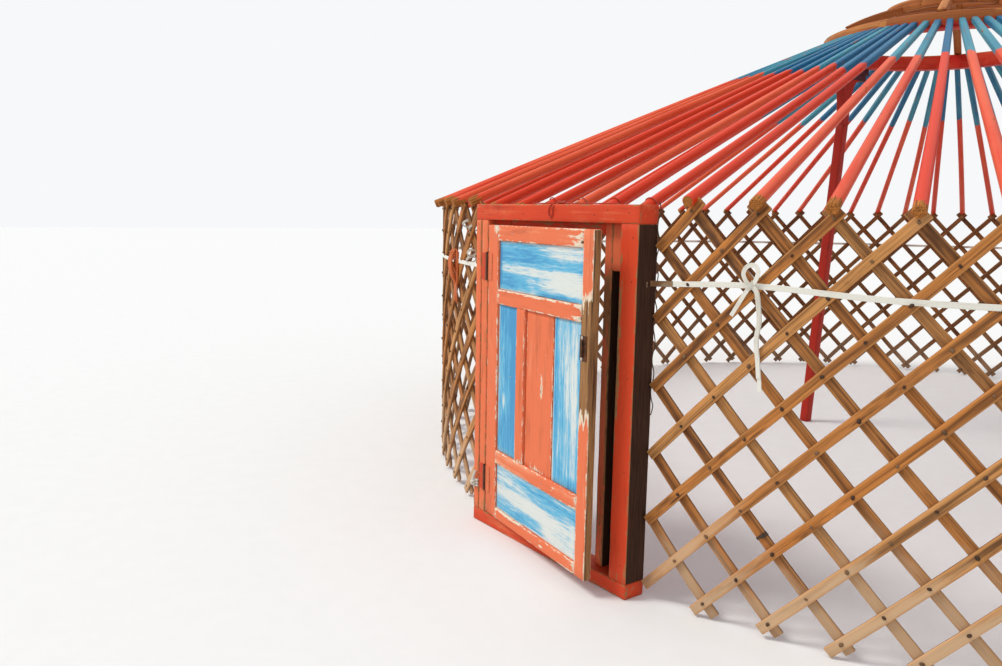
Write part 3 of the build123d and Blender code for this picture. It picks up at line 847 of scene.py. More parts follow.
def lath_spans(grid, section, rise):
    """For each lath of one layer in a section: the column where it would meet the lowest crossings, the
    columns where it begins and finishes, and those where a lath that nothing cuts short would."""
    wall = grid.wall
    first = section * grid.per_section
    last = first + grid.per_section
    joints = [c for c in (first, last) if 0 < c < grid.columns]
    reach = wall.edge_reach / grid.column_width
    low_end = first + wall.joint_gap if first in joints else first - reach
    high_end = last - wall.joint_gap if last in joints else last + reach
    foot = (wall.foot_crossing - math.cos(grid.lean) * wall.lath_width / 2) / grid.level_step
    fork = wall.levels - 1 + wall.fork_height / grid.level_step
    for start in range(first - wall.levels, last + wall.levels + 1, 2):
        ends = sorted((start - rise * foot, start + rise * fork))
        begin = max(ends[0], low_end)
        finish = min(ends[1], high_end)
        if finish - begin >= 1:
            yield start, begin, finish, ends


def shaded_room_face(along, across, outward):
    """The coat value of a lath: 1 on the face towards the room, which the finish darkens as painted shade."""
    return 1.0 if outward < 0 else 0.0


class YURT_OT_wall(bpy.types.Operator):
    """Makes the laths of every wall section, the outer layer and the inner one"""

    bl_idname = "yurt.wall"
    bl_label = "Lattice wall"

    def execute(self, context):
        wall = context.scene.yurt_wall
        colours = context.scene.yurt_colours
        grid = WallGrid(wall)
        outer_wood = lath_finish(colours)
        # the inner layer's copy of the lath wood, darkened by painted shade
        inner_wood = lath_finish(colours, "lath_wood_inner", wall.inner_shade)
        shape = rounded_board(wall.lath_width, wall.lath_thickness, wall.arris, 0.03)
        for section in range(wall.sections):
            for rise, layer, wood in ((1, "outer", outer_wood), (-1, "inner", inner_wood)):
                bars = Bars(section * 2 + rise)
                offset = rise * (wall.lath_thickness / 2 + wall.layer_gap)
                for start, begin, finish, ends in lath_spans(grid, section, rise):
                    if begin == ends[0]:
                        begin += bars.random.uniform(0.0, wall.trimmed)
                    if finish == ends[1]:
                        finish -= bars.random.uniform(0.0, wall.trimmed)
                    stations = lath_stations(grid, begin, finish, start, rise, offset, bars.random)
                    bars.bar(shape, stations, coat=shaded_room_face, bevel=0.0025, rough=0.0006)
                name = f"wall_section_{section + 1}_{layer}_laths"
                ride(bars.object(f"{name}_wood", wood), FRAME_BODY, "lath_wood", name)
        return {"FINISHED"}


def knot(bars, centre, outward, size):
    """A small lump of hide, pressed against the wall."""
    dice = bars.random
    angle = dice.uniform(0, math.pi)
    along = UP.cross(outward) * math.cos(angle) + UP * math.sin(angle)
    across = outward.cross(along)
    radius = size * dice.uniform(0.75, 1.2)
    stretch, lift, flatness = 1.25, 0.25, 0.7
    stations = []
    for part in (-0.95, -0.6, 0.0, 0.6, 0.95):
        girth = radius * math.sqrt(1 - part * part)
        middle = centre + along * part * radius * stretch + outward * radius * lift
        stations.append((middle, across, outward, part * radius, girth, girth * flatness))
    bars.bar(round_section(1.0, 7), stations, tone=dice.random())


class YURT_OT_knots(bpy.types.Operator):
    """Ties the laths with knots of hide at their crossings"""

    bl_idname = "yurt.knots"
    bl_label = "Crossing knots"

    def execute(self, context):
        wall = context.scene.yurt_wall
        grid = WallGrid(wall)
        hide = hide_finish(context.scene.yurt_colours)
        face = wall.lath_thickness + wall.layer_gap
        for section in range(wall.sections):
            bars = Bars(100 + section)
            first = section * grid.per_section
            for column in range(first + 1, first + grid.per_section):
                for level in range(wall.levels):
                    if (column - level) % 2:
                        continue
                    outward = at(grid.angle(column), 1)
                    for side in (1, -1):
                        centre = grid.point(column, grid.crossing(column, level), side * face)
                        knot(bars, centre, outward * side, wall.knot_size)
            ride(bars.object(f"wall_section_{section + 1}_knots", hide, 80), FRAME_BODY, None)
        return {"FINISHED"}


# Roof poles


class RoofGrid:
    """Where the roof's poles start and end."""

    def __init__(self, wall, roof):
        self.wall = WallGrid(wall)
        self.roof = roof
        rim_low, rim_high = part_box("crown_rim")
        self.rim_foot = rim_low.z
        self.rim_head = rim_high.z
        self.neck_radius = roof.crown_radius + roof.neck_gap
        self.neck_height = self.rim_foot + roof.mortise_height
        lintel_low, lintel_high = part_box("door_lintel")
        self.lintel_front = -lintel_low.y
        self.lintel_head = lintel_high.z

    def slope(self, radius, height):
        return (self.neck_height - height) / (radius - self.neck_radius)

    def fork_seat(self):
        """The height of a pole's middle where it lies in a fork."""
        wall = self.wall.wall
        radius = self.roof.butt_width / 2
        height = wall.head_crossing
        for _ in range(4):
            slope = self.slope(wall.radius, height)
            rest = radius / math.cos(self.wall.lean) * math.hypot(1, slope * math.cos(self.wall.lean))
            height = wall.head_crossing + self.wall.half_height + rest + slope * wall.lath_thickness
        return height - self.roof.seat_notch

    def poles(self):
        """The angle, foot radius and foot height of every pole, by the node that holds it."""
        grid = self.wall
        seat = self.fork_seat()
        for section in range(grid.wall.sections):
            first = section * grid.per_section
            heads = range(first + 1, first + grid.per_section, 2)
            places = [(grid.angle(column), grid.wall.radius, grid.sunk(column, seat)) for column in heads]
            yield f"roof_poles_section_{section + 1}", places
        span = 2 * (grid.edge_angle + grid.column_angle)
        places = []
        for i in range(self.roof.door_poles):
            angle = span * (i + 1) / (self.roof.door_poles + 1) - span / 2
            radius = (self.lintel_front - self.roof.lintel_setback) / math.cos(angle)
            places.append((angle, radius, self.lintel_head - self.roof.seat_notch))
        yield "roof_poles_door", places


def pole_section(squareness):
    """A section of half-width 1 between a circle, at 0, and a square with cut corners, at 1."""
    points = []
    for i in range(POLE_SIDES):
        angle = 2 * math.pi * (i + 0.5) / POLE_SIDES
        x, y = math.cos(angle), math.sin(angle)
        square = 1 / max(abs(x), abs(y), (abs(x) + abs(y)) / 1.72)
        reach = 1 + (square - 1) * squareness
        points.append((x * reach, y * reach))
    return points


def pole_rings(roof, distance, twist):
    """Rings along a pole, each with its place, half width, squareness and twist. The butt's edge is
    rounded, and past the shoulder comes a square tenon."""
    steps = 30
    rounding = 0.004
    tenon = roof.tenon_width / 2
    rings = []
    for i in range(steps + 1):
        part = i / steps
        half = (roof.butt_width + (roof.neck_width - roof.butt_width) * part) / 2
        rings.append((part * distance, half, clamped(part * 1.6 - 0.35), twist * (1 - part)))
    butt = rings[0][1]
    rings[0] = (rounding, butt, 0.0, twist)
    return [
        (0.0, butt - rounding, 0.0, twist), *rings,
        (distance + 0.001, tenon + 0.002, 1.0, 0.0),
        (distance + 0.002, tenon, 1.0, 0.0),
        (distance + roof.tenon_length, tenon - 0.001, 1.0, 0.0),
    ]


def add_pole(bars, grid, angle, radius, height, overhang):
    """One pole: round and bare at its butt, squared and blue towards the crown, with a square tip."""
    roof = grid.roof
    dice = bars.random
    neck = at(angle, grid.neck_radius, grid.neck_height)
    foot = at(angle, radius, height)
    direction = (neck - foot).normalized()
    start = foot - direction * overhang * dice.uniform(0.7, 1)
    distance = (neck - start).length
    across = level_side(angle)
    upward = across.cross(direction)
    bend = dice.uniform(-0.006, 0.006)
    side_bend = dice.uniform(-0.005, 0.005)
    red_from = 0.012 + dice.uniform(-0.014, 0.018)
    blue_from = distance - roof.blue_length - dice.uniform(-0.03, 0.03)
    tone = dice.random()
    shift = dice.uniform(-50, 50)
    rings = pole_rings(roof, distance, dice.uniform(-0.25, 0.25))
    first = len(bars.points)
    for along, half, squareness, lean in rings:
        sag = math.sin(math.pi * min(1.0, along / distance))
        centre = start + direction * along + upward * bend * sag + across * side_bend * sag
        coat = 0.0 if along < red_from else 1.0 if along < blue_from else 2.0
        for x, y in pole_section(squareness):
            u = (x * math.cos(lean) - y * math.sin(lean)) * half
            v = (x * math.sin(lean) + y * math.cos(lean)) * half
            edge = squareness if abs(abs(x) - abs(y)) < 0.45 else 0.0
            bars.point(centre + across * u + upward * v, shifted(along, u, v, shift), edge, tone, coat)
    bars.skin(first, len(rings), POLE_SIDES)


class YURT_OT_poles(bpy.types.Operator):
    """Makes the roof poles, from the wall's forks and the lintel to the crown"""

    bl_idname = "yurt.poles"
    bl_label = "Roof poles"

    def execute(self, context):
        scene = context.scene
        grid = RoofGrid(scene.yurt_wall, scene.yurt_roof)
        paint = pole_finish(scene.yurt_colours)
        for number, (node, places) in enumerate(grid.poles()):
            bars = Bars(200 + number)
            overhang = grid.roof.lintel_hold if node == "roof_poles_door" else grid.roof.overhang
            for angle, radius, height in places:
                add_pole(bars, grid, angle, radius, height, overhang)
            ride(bars.object(f"{node}_painted", paint, 40), FRAME_BODY, "pole_red", node)
        return {"FINISHED"}


# Crown


def arc_stations(radius, height, steps, start, sweep):
    """Stations along a level arc, with across pointing outwards and outward pointing up."""
    stations = []
    for i in range(steps + 1):
        angle = start + sweep * i / steps
        stations.append((at(angle, radius, height), at(angle, 1), UP, radius * angle, 1, 1))
    return stations


def crown_rim(grid, paint):
    """The rim, with a square mortise for each pole tip. It is red inside and below, and the red is worn
    away towards its top."""
    roof = grid.roof
    outer = roof.crown_radius - 0.0005
    inner = outer - roof.rim_width
    nose = roof.rim_nose
    mouth = roof.half_mortise
    low = grid.rim_foot
    high = grid.rim_head
    middle = grid.neck_height
    rows = [
        (inner + 0.004, low, 1.0), (outer - nose, low, 1.0), (outer - 0.004, low + 0.004, 0.9),
        (outer, low + nose, 0.75), (outer, middle - mouth, 0.6), (outer, middle + mouth, 0.45),
        (outer, middle + mouth + nose, 0.2), (outer, high - nose, 0.0), (outer - 0.0035, high - 0.0035, 0.0),
        (outer - nose, high, 0.0), (inner + 0.008, high, 0.15), (inner + 0.001, high - 0.006, 0.6),
        (inner, high - 0.02, 1.0), (inner, low + 0.006, 1.0),
    ]
    edge_rows = (2, 8, 11)
    mouth_row = 4
    turns = 2 * math.pi
    angles = sorted(angle % turns for _, places in grid.poles() for angle, _, _ in places)
    columns = []
    for angle, following in zip(angles, [*angles[1:], angles[0] + turns]):
        columns += [(angle - mouth / outer, True), (angle + mouth / outer, False)]
        columns.append(((angle + following) / 2, False))
    bars = Bars(300)
    size = len(rows)
    for number, (angle, _) in enumerate(columns):
        felloe = number // 3 // (len(angles) // roof.felloes)
        for index, (radius, height, coat) in enumerate(rows):
            wave = 0.0012 * abs(noise.noise(Vector((angle * 4, index * 0.6, 1))))
            grain = (angle * outer, radius + felloe * 3.7, height)
            edge = 1.0 if index in edge_rows else 0.0
            bars.point(at(angle, radius - wave, height), grain, edge, (felloe * 0.37) % 1, coat)
    for number, (_, at_pole) in enumerate(columns):
        here = number * size
        there = (number + 1) % len(columns) * size
        for i in range(size):
            j = (i + 1) % size
            if at_pole and i == mouth_row:
                mortise(bars, (here + i, there + i, there + j, here + j), roof.mortise_depth)
            else:
                bars.faces.append((here + i, there + i, there + j, here + j))
    return bars.object("crown_rim_wood", paint, 35)


def mortise(bars, mouth, depth):
    """A square recess behind four points of the rim's face, rising a little as the poles do."""
    places = [bars.points[i] for i in mouth]
    centre = sum(places, Vector()) / 4
    inward = Vector((-centre.x, -centre.y, 0)).normalized() * depth + UP * 0.012
    first = len(bars.points)
    for place in places:
        bars.point(place + inward, (0, 0, 0), 0.0, 0.0, 0.0)
    for i in range(4):
        j = (i + 1) % 4
        bars.faces.append((mouth[i], mouth[j], first + j, first + i))
    bars.faces.append((first, first + 1, first + 2, first + 3))


class YURT_OT_crown(bpy.types.Operator):
    """Makes the crown: rim, bowed spokes, small hoop and hub"""

    bl_idname = "yurt.crown"
    bl_label = "Crown"

    def execute(self, context):
        scene = context.scene
        roof = scene.yurt_roof
        grid = RoofGrid(scene.yurt_wall, roof)
        paint = crown_finish(scene.yurt_colours)
        pieces = (
            ("crown_rim", crown_rim(grid, paint)),
            ("crown_spokes", self.spokes(roof, grid.rim_head).object("crown_spokes_wood", paint)),
            ("crown_upper_hoop", self.hoop(roof).object("crown_hoop_wood", paint)),
            ("crown_hub", self.hub().object("crown_hub_wood", paint, 30)),
        )
        for node, piece in pieces:
            ride(piece, FRAME_BODY, "crown_wood", node)
        return {"FINISHED"}

    def hub_reach(self):
        """From the hub's middle to the flat faces of its eight sides."""
        low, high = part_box("crown_hub")
        return (high.x - low.x) / 2 * math.cos(math.pi / 8)

    def spokes(self, roof, foot):
        """Half spokes bowed to one dome, feathered on the rim and butted on the hub."""
        hub_low, hub_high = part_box("crown_hub")
        reach = roof.crown_radius - roof.spoke_inset
        tip = self.hub_reach() + 0.0005
        crest = hub_low.z + (hub_high.z - hub_low.z) / 2 + roof.spoke_depth / 2
        drop = crest - foot - roof.spoke_feather
        dome = (reach ** 2 + drop ** 2) / (2 * drop)
        steps = 18
        section = rounded_board(roof.spoke_width, roof.spoke_depth, 0.006)
        spokes = Bars(310)
        for number in range(roof.spokes):
            angle = 2 * math.pi / roof.spokes * (number + 0.5)
            stations = []
            for i in range(steps + 1):
                radius = reach + (tip - reach) * i / steps
                back = crest - dome + math.sqrt(dome ** 2 - radius ** 2)
                tilt = math.asin(radius / dome)
                outward = at(angle, math.sin(tilt), math.cos(tilt))
                depth = roof.spoke_feather + (reach - radius) * roof.spoke_thickening
                depth = min(roof.spoke_depth, depth)
                centre = at(angle, radius, back) - outward * depth / 2
                centre.z = max(centre.z, foot + depth / 2 * math.cos(tilt))
                wide = 1 + 0.06 * noise.noise(Vector((radius * 6, number, 0)))
                stations.append((centre, level_side(angle), outward, radius, wide, depth / roof.spoke_depth))
            spokes.bar(section, stations, bevel=0.003)
        return spokes

    def hoop(self, roof):
        """The small hoop on the dome, in pieces that meet on the spokes."""
        low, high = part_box("crown_upper_hoop")
        section = rounded_board(roof.hoop_width, high.z - low.z, 0.008, 0.012)
        sides = 32  # of the solid, whose corners stand out from the round hoop
        radius = high.x * math.cos(math.pi / sides) - roof.hoop_width / 2
        sweep = 2 * math.pi / roof.spokes
        gap = 0.001
        hoop = Bars(320)
        for number in range(roof.spokes):
            start = sweep * number + gap
            stations = arc_stations(radius, (low.z + high.z) / 2, 8, start, sweep - 2 * gap)
            hoop.bar(section, stations, bevel=0.002)
        return hoop

    def hub(self):
        """The eight-sided block that the spokes butt on."""
        low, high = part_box("crown_hub")
        half = self.hub_reach() / math.cos(math.pi / 8)
        corners = [math.pi / 4 * i for i in range(8)]
        section = [(half * math.cos(corner), half * math.sin(corner), 1.0) for corner in corners]
        hub = Bars(330)
        hub.bar(section, straight(Vector((0, 0, low.z)), Vector((0, 0, high.z)), FRONT, 0.02), bevel=0.006)
        return hub


# Pillars


class YURT_OT_pillars(bpy.types.Operator):
    """Makes the two pillars with their brackets"""

    bl_idname = "yurt.pillars"
    bl_label = "Pillars"

    def execute(self, context):
        scene = context.scene
        roof = scene.yurt_roof
        colours = scene.yurt_colours
        old = colours.old_wood
        paint = painted_finish(
            "pillar_paint", colours.pillar_red, colours.pole_red, old, old, old,
            wear=0.3, fade=0.35, gloss=0.6
        )
        board = painted_finish(
            "pillar_board_paint", colours.pillar_board, old, old, old, old, wear=0.3, fade=0.5, gloss=0.3
        )
        size = roof.pillar_width
        for number, name in enumerate(("left", "right")):
            low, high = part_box(f"pillar_{name}")
            head_x, foot_x = sorted((low.x + size / 2, high.x - size / 2), key=abs)
            tilt = (abs(foot_x) - abs(head_x)) / (high.z - low.z)
            foot = Vector((foot_x, 0, low.z + tilt * size / 2 + 0.001))
            head = Vector((head_x, 0, high.z))
            bars = Bars(400 + number)
            section = rounded_board(size, size, roof.pillar_chamfer)
            bars.bar(section, straight(foot, head, FRONT, 0.05), bevel=0.003, rough=0.0012)
            ride(bars.object(f"pillar_{name}_painted", paint), FRAME_BODY, "pole_red", f"pillar_{name}")
            boards, cheeks = self.bracket(roof, name, 410 + number)
            node = f"pillar_bracket_{name}"
            ride(boards.object(f"bracket_{name}_boards", board), FRAME_BODY, "pole_red", node)
            ride(cheeks.object(f"bracket_{name}_cheeks", paint), FRAME_BODY, "pole_red", node)
        return {"FINISHED"}

    def bracket(self, roof, name, seed):
        """Two boards under the crown's rim, and carved cheeks that curve in to the post."""
        low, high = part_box(f"pillar_bracket_{name}")
        thickness = high.x - low.x
        middle = (low.x + high.x) / 2
        across = Vector((1, 0, 0))
        boards = Bars(seed)
        section = rounded_board(roof.board_height, thickness, 0.005)
        top = high.z
        for inset in (0, roof.board_setback):
            start = Vector((middle, inset - high.y, top - roof.board_height / 2))
            end = Vector((middle, high.y - inset, top - roof.board_height / 2))
            boards.bar(section, straight(start, end, across, 0.03), bevel=0.004, rough=0.0008)
            top -= roof.board_height
        cheeks = Bars(seed + 2)
        section = rounded_board(roof.cheek_length, thickness, 0.006)
        waist = roof.pillar_width / roof.cheek_length
        stations = []
        steps = 16
        for i in range(steps + 1):
            part = i / steps
            wide = waist + (1 - waist) * (1 - math.sqrt(max(0.0, 1 - part ** 2.6)))
            centre = Vector((middle, 0, top - roof.bracket_waist * (1 - part)))
            stations.append((centre, Vector((0, 1, 0)), across, part * roof.bracket_waist, wide, 1))
        cheeks.bar(section, stations)
        return boards, cheeks


# Door


def board_from_box(bars, low, high, door, axis, coat=None, step=0.02):
    """Fills a box with one worn board whose grain runs along an axis."""
    size = high - low
    start = (low + high) / 2
    end = start.copy()
    start[axis] = low[axis]
    end[axis] = high[axis]
    width = size.x if axis == 2 else size.z
    arris = min(door.arris, size.y / 4, width / 4)
    section = rounded_board(width, size.y, arris, step)
    bars.bar(section, straight(start, end, FRONT, door.ring_step), coat, bevel=arris * 0.8, rough=0.0009)


def patched(patches):
    """A coat of soft patches, each given as (along, across, half length, half width, strength)."""

    def coat(along, across, outward):
        value = 0.0
        for place, middle, half_length, half_width, strength in patches:
            away = math.hypot((along - place) / half_length, (across - middle) / half_width)
            value += strength * max(0.0, 1 - away * away)
        return value

    return coat


def frame_wear(strength, low_end=0.0, shaded_side=None, patches=()):
    """Wear that grows towards the foot, with patches of more. The shaded side was never painted and is
    coloured very dark as painted shade; its value is where it starts across the board."""
    spots = patched(patches)

    def coat(along, across, outward):
        if shaded_side and across / shaded_side >= 1:
            return BARE_AND_SHADED
        value = strength * (0.4 + noise.noise(Vector((along * 3, across * 20, strength * 10))))
        return max(0.0, value) + max(0.0, 0.25 - along) * low_end + spots(along, across, outward)

    return coat


def nail(bars, place, outward, radius):
    """A flat nail head."""
    across = UP.cross(outward).normalized()
    stations = []
    for lift, narrowing in ((-0.002, 1.0), (0.0006, 1.0), (0.0014, 0.6)):
        size = radius * narrowing
        stations.append((place + outward * lift, across, outward.cross(across), lift, size, size))
    bars.bar(round_section(1.0, 8), stations)


class YURT_OT_door_frame(bpy.types.Operator):
    """Makes the door's posts, lintel, threshold and stops"""

    bl_idname = "yurt.door_frame"
    bl_label = "Door frame"

    def execute(self, context):
        scene = context.scene
        door = scene.yurt_door
        colours = scene.yurt_colours
        paint = painted_finish(
            "frame_paint", colours.frame_red, colours.frame_faded, colours.raw_wood, colours.raw_wood,
            colours.old_wood, wear=0.5, fade=0.5, gloss=0.35, edge_wear=0.16
        )
        # Paler paint: faded on the left post, and on the right stop a painted light that makes it look lit in
        # the leaf's shade
        faded = painted_finish(
            "faded_and_lit_frame_paint", colours.leaf_red, colours.leaf_faded, colours.raw_wood, colours.raw_wood,
            colours.old_wood, wear=0.6, fade=0.6, gloss=0.2, edge_wear=0.2
        )
        for seed, (node, axis, wear) in enumerate((
            ("door_lintel", 0, frame_wear(0.1)),
            ("door_threshold", 0, frame_wear(0.25)),
            ("door_stop_left", 2, frame_wear(0.4)),
            ("door_stop_head", 0, frame_wear(0.5)),
        ), 501):
            bars = Bars(seed)
            board_from_box(bars, *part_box(node), door, axis, wear)
            ride(bars.object(f"{node}_painted", paint), FRAME_BODY, "frame_red", node)

        low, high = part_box("door_post_right")
        half_post = (high.x - low.x) / 2
        bars = Bars(511)
        # the post's outer side face is bare wood, coloured dark as painted shade
        worn = frame_wear(0.12, 0.5, half_post - ON_FACE, [(0.95, -0.04, 0.5, 0.014, 0.5)])

        def post_coat(along, across, outward):
            # painted shadow: the post's inner side face beside the groove is coloured dark up to the groove's
            # head
            in_groove_shadow = across <= ON_FACE - half_post and along < door.groove_head
            return BARE_AND_SHADED if in_groove_shadow else worn(along, across, outward)

        board_from_box(bars, low, high, door, 2, post_coat)
        ride(bars.object("door_post_right_painted", paint), FRAME_BODY, "frame_red", "door_post_right")

        low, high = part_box("door_post_left")
        bars = Bars(512)
        seam = low.x + door.left_board
        board_from_box(bars, low, Vector((seam, high.y, high.z)), door, 2, frame_wear(0.15, 0.8))
        start = Vector((seam + door.seam, low.y + 0.001, low.z))
        board_from_box(bars, start, high, door, 2, frame_wear(0.1, 0.8))
        ride(bars.object("door_post_left_painted", faded), FRAME_BODY, "frame_red", "door_post_left")

        low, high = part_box("door_stop_right")
        bars = Bars(513)
        seam = low.x + door.strip_width
        # the strip's side face towards the groove is coloured dark as painted shadow
        strip = frame_wear(
            0.3, 0.2, door.strip_width / 2 - ON_FACE,
            [(1.05, 0.0, 0.16, 0.03, 0.7), (0.55, 0.02, 0.5, 0.01, 0.3)]
        )
        board_from_box(bars, low, Vector((seam, high.y, high.z)), door, 2, strip)
        board_from_box(bars, Vector((seam, low.y, door.groove_head)), high, door, 2, frame_wear(0.2))
        # the groove's floor is a board coloured dark as painted shadow
        hollow = Vector((seam, low.y + door.groove_depth, low.z))
        wall = Vector((high.x, high.y, door.groove_head))
        board_from_box(bars, hollow, wall, door, 2, lambda along, across, outward: BARE_AND_SHADED)
        # the right stop takes the paler paint as painted light
        ride(bars.object("door_stop_right_painted", faded), FRAME_BODY, "frame_red", "door_stop_right")
        return {"FINISHED"}


def leaf_turn():
    """Turns the closed leaf out to where it stands at rest."""
    door = bpy.context.scene.yurt_door
    pivot = Vector(door_joint["pos_m"])
    spin = Matrix.Rotation(-door.rest_angle, 4, "Z")
    return Matrix.Translation(pivot) @ spin @ Matrix.Translation(-pivot)


def box_of(places):
    """The lowest and the highest corner round some places."""
    return [Vector([pick(place[i] for place in places) for i in range(3)]) for pick in (min, max)]


def leaf_places(node):
    """A leaf node's points with the door closed."""
    back = leaf_turn().inverted()
    return [back @ vertex.co for vertex in frame["nodes"][node].data.vertices]


def solid_boxes(node):
    """The boxes of a leaf node's separate solids with the door closed, from the foot up."""
    heights = {}
    for place in leaf_places(node):
        heights.setdefault(round(place.z, 4), []).append(place)
    levels = sorted(heights)
    return [box_of(heights[low] + heights[high]) for low, high in zip(levels[::2], levels[1::2])]


def hang_leaf(bars, name, finish, slot, *nodes):
    """Turns a finished leaf piece out to rest and hangs it on the leaf."""
    spin = leaf_turn()
    bars.points = [spin @ place for place in bars.points]
    return ride(bars.object(name, finish), LEAF_BODY, slot, *nodes)


# Each panel's grain axis, and where its paint is washed out or, below zero, still deep.
PANELS = (
    ("leaf_top_panel", 0, [
        (0.30, 0.012, 0.42, 0.024, 1.3), (0.58, 0.05, 0.26, 0.06, 1.3),
        (0.6, -0.075, 0.4, 0.03, 0.9), (0.12, 0.065, 0.16, 0.04, -0.7),
        (0.2, -0.05, 0.3, 0.04, -0.6), (0.5, 0.1, 0.2, 0.012, -1.4),
        (0.0, 0.0, 0.02, 0.12, -1.2),
    ]),
    ("leaf_left_panel", 2, [
        (0.3, -0.05, 0.2, 0.03, 0.5), (0.62, 0.0, 0.1, 0.08, -0.5),
        (0.35, 0.05, 0.5, 0.03, -0.8), (0.24, -0.03, 0.05, 0.02, 1.6),
        (0.0, 0.0, 0.03, 0.1, 0.8), (0.4, 0.0, 0.7, 0.12, -0.8),
    ]),
    ("leaf_right_panel", 2, [
        (0.33, 0.05, 0.36, 0.03, 1.0), (0.45, 0.0, 0.22, 0.035, 0.7),
        (0.05, -0.05, 0.08, 0.05, -0.6), (0.02, 0.04, 0.04, 0.06, -0.9),
        (0.4, -0.085, 0.5, 0.012, -1.0),
    ]),
    ("leaf_bottom_panel", 0, [
        (0.3, 0.01, 0.4, 0.035, 1.2), (0.56, 0.07, 0.2, 0.05, 1.0),
        (0.5, -0.06, 0.3, 0.05, -0.8), (0.15, 0.09, 0.3, 0.03, -0.6),
        (0.08, -0.07, 0.16, 0.04, 0.5), (0.66, 0.02, 0.02, 0.1, 0.8),
        (0.36, 0.0, 0.5, 0.14, 0.5),
    ]),
)


class YURT_OT_leaf(bpy.types.Operator):
    """Makes the door leaf: stiles, rails, muntin and panels"""

    bl_idname = "yurt.leaf"
    bl_label = "Door leaf"

    def execute(self, context):
        scene = context.scene
        door = scene.yurt_door
        colours = scene.yurt_colours
        paint = painted_finish(
            "leaf_paint", colours.leaf_red, colours.leaf_faded, colours.ground_coat, colours.raw_wood,
            colours.old_wood, wear=0.45, fade=0.6, gloss=0.3, edge_wear=0.17
        )
        blue = washed_finish(colours)

        def lock_stile(along, across, outward):
            if across > door.lock_edge:
                return 1.25
            handled = min(1.0, max(0.0, 1 - abs(along - door.handle_height) / 0.3) * 2.4)
            low = max(0.0, 0.5 - along) * 0.25
            return handled * 0.95 + low + 0.12 * noise.noise(Vector((along * 9, across * 60, 3)))

        for seed, (node, coat) in enumerate((
            ("leaf_hinge_stile", frame_wear(0.08, patches=[(1.34, 0.03, 0.05, 0.03, 0.6)])),
            ("leaf_lock_stile", lock_stile),
            ("leaf_muntin", frame_wear(0.12, patches=[(0.0, 0.0, 0.02, 0.05, 0.5)])),
            ("leaf_centre_panel", frame_wear(
                0.1, patches=[(0.38, 0.02, 0.07, 0.016, 0.7), (0, 0, 0.03, 0.12, 0.5)]
            )),
        ), 601):
            bars = Bars(seed)
            board_from_box(bars, *box_of(leaf_places(node)), door, 2, coat)
            hang_leaf(bars, f"{node}_painted", paint, "leaf_red", node)
        rails = Bars(620)
        boxes = solid_boxes("leaf_rails")
        run = boxes[0][1].x - boxes[0][0].x
        ends = [(0.0, 0.0, 0.03, 0.06, 0.35), (run, 0.0, 0.04, 0.08, 0.42), (run, 0.03, 0.16, 0.02, 0.34)]
        marks = (
            [(run * 0.62, 0.0, 0.035, 0.02, 0.7), (run * 0.2, -0.02, 0.2, 0.012, 0.5)],
            [(run * 0.74, 0.0, 0.02, 0.014, 0.6)],
            [(run * 0.5, -0.03, 0.5, 0.012, 0.3)],
            [(run * 0.9, 0.0, 0.06, 0.03, 0.3)],
        )
        for (low, high), more in zip(boxes, marks):
            board_from_box(rails, low, high, door, 0, frame_wear(0.1, patches=ends + more))
        hang_leaf(rails, "leaf_rails_painted", paint, "leaf_red", "leaf_rails")
        for seed, (node, axis, patches) in enumerate(PANELS, 605):
            bars = Bars(seed)
            board_from_box(bars, *box_of(leaf_places(node)), door, axis, patched(patches), 0.012)
            hang_leaf(bars, f"{node}_painted", blue, "panel_blue", node)
        return {"FINISHED"}


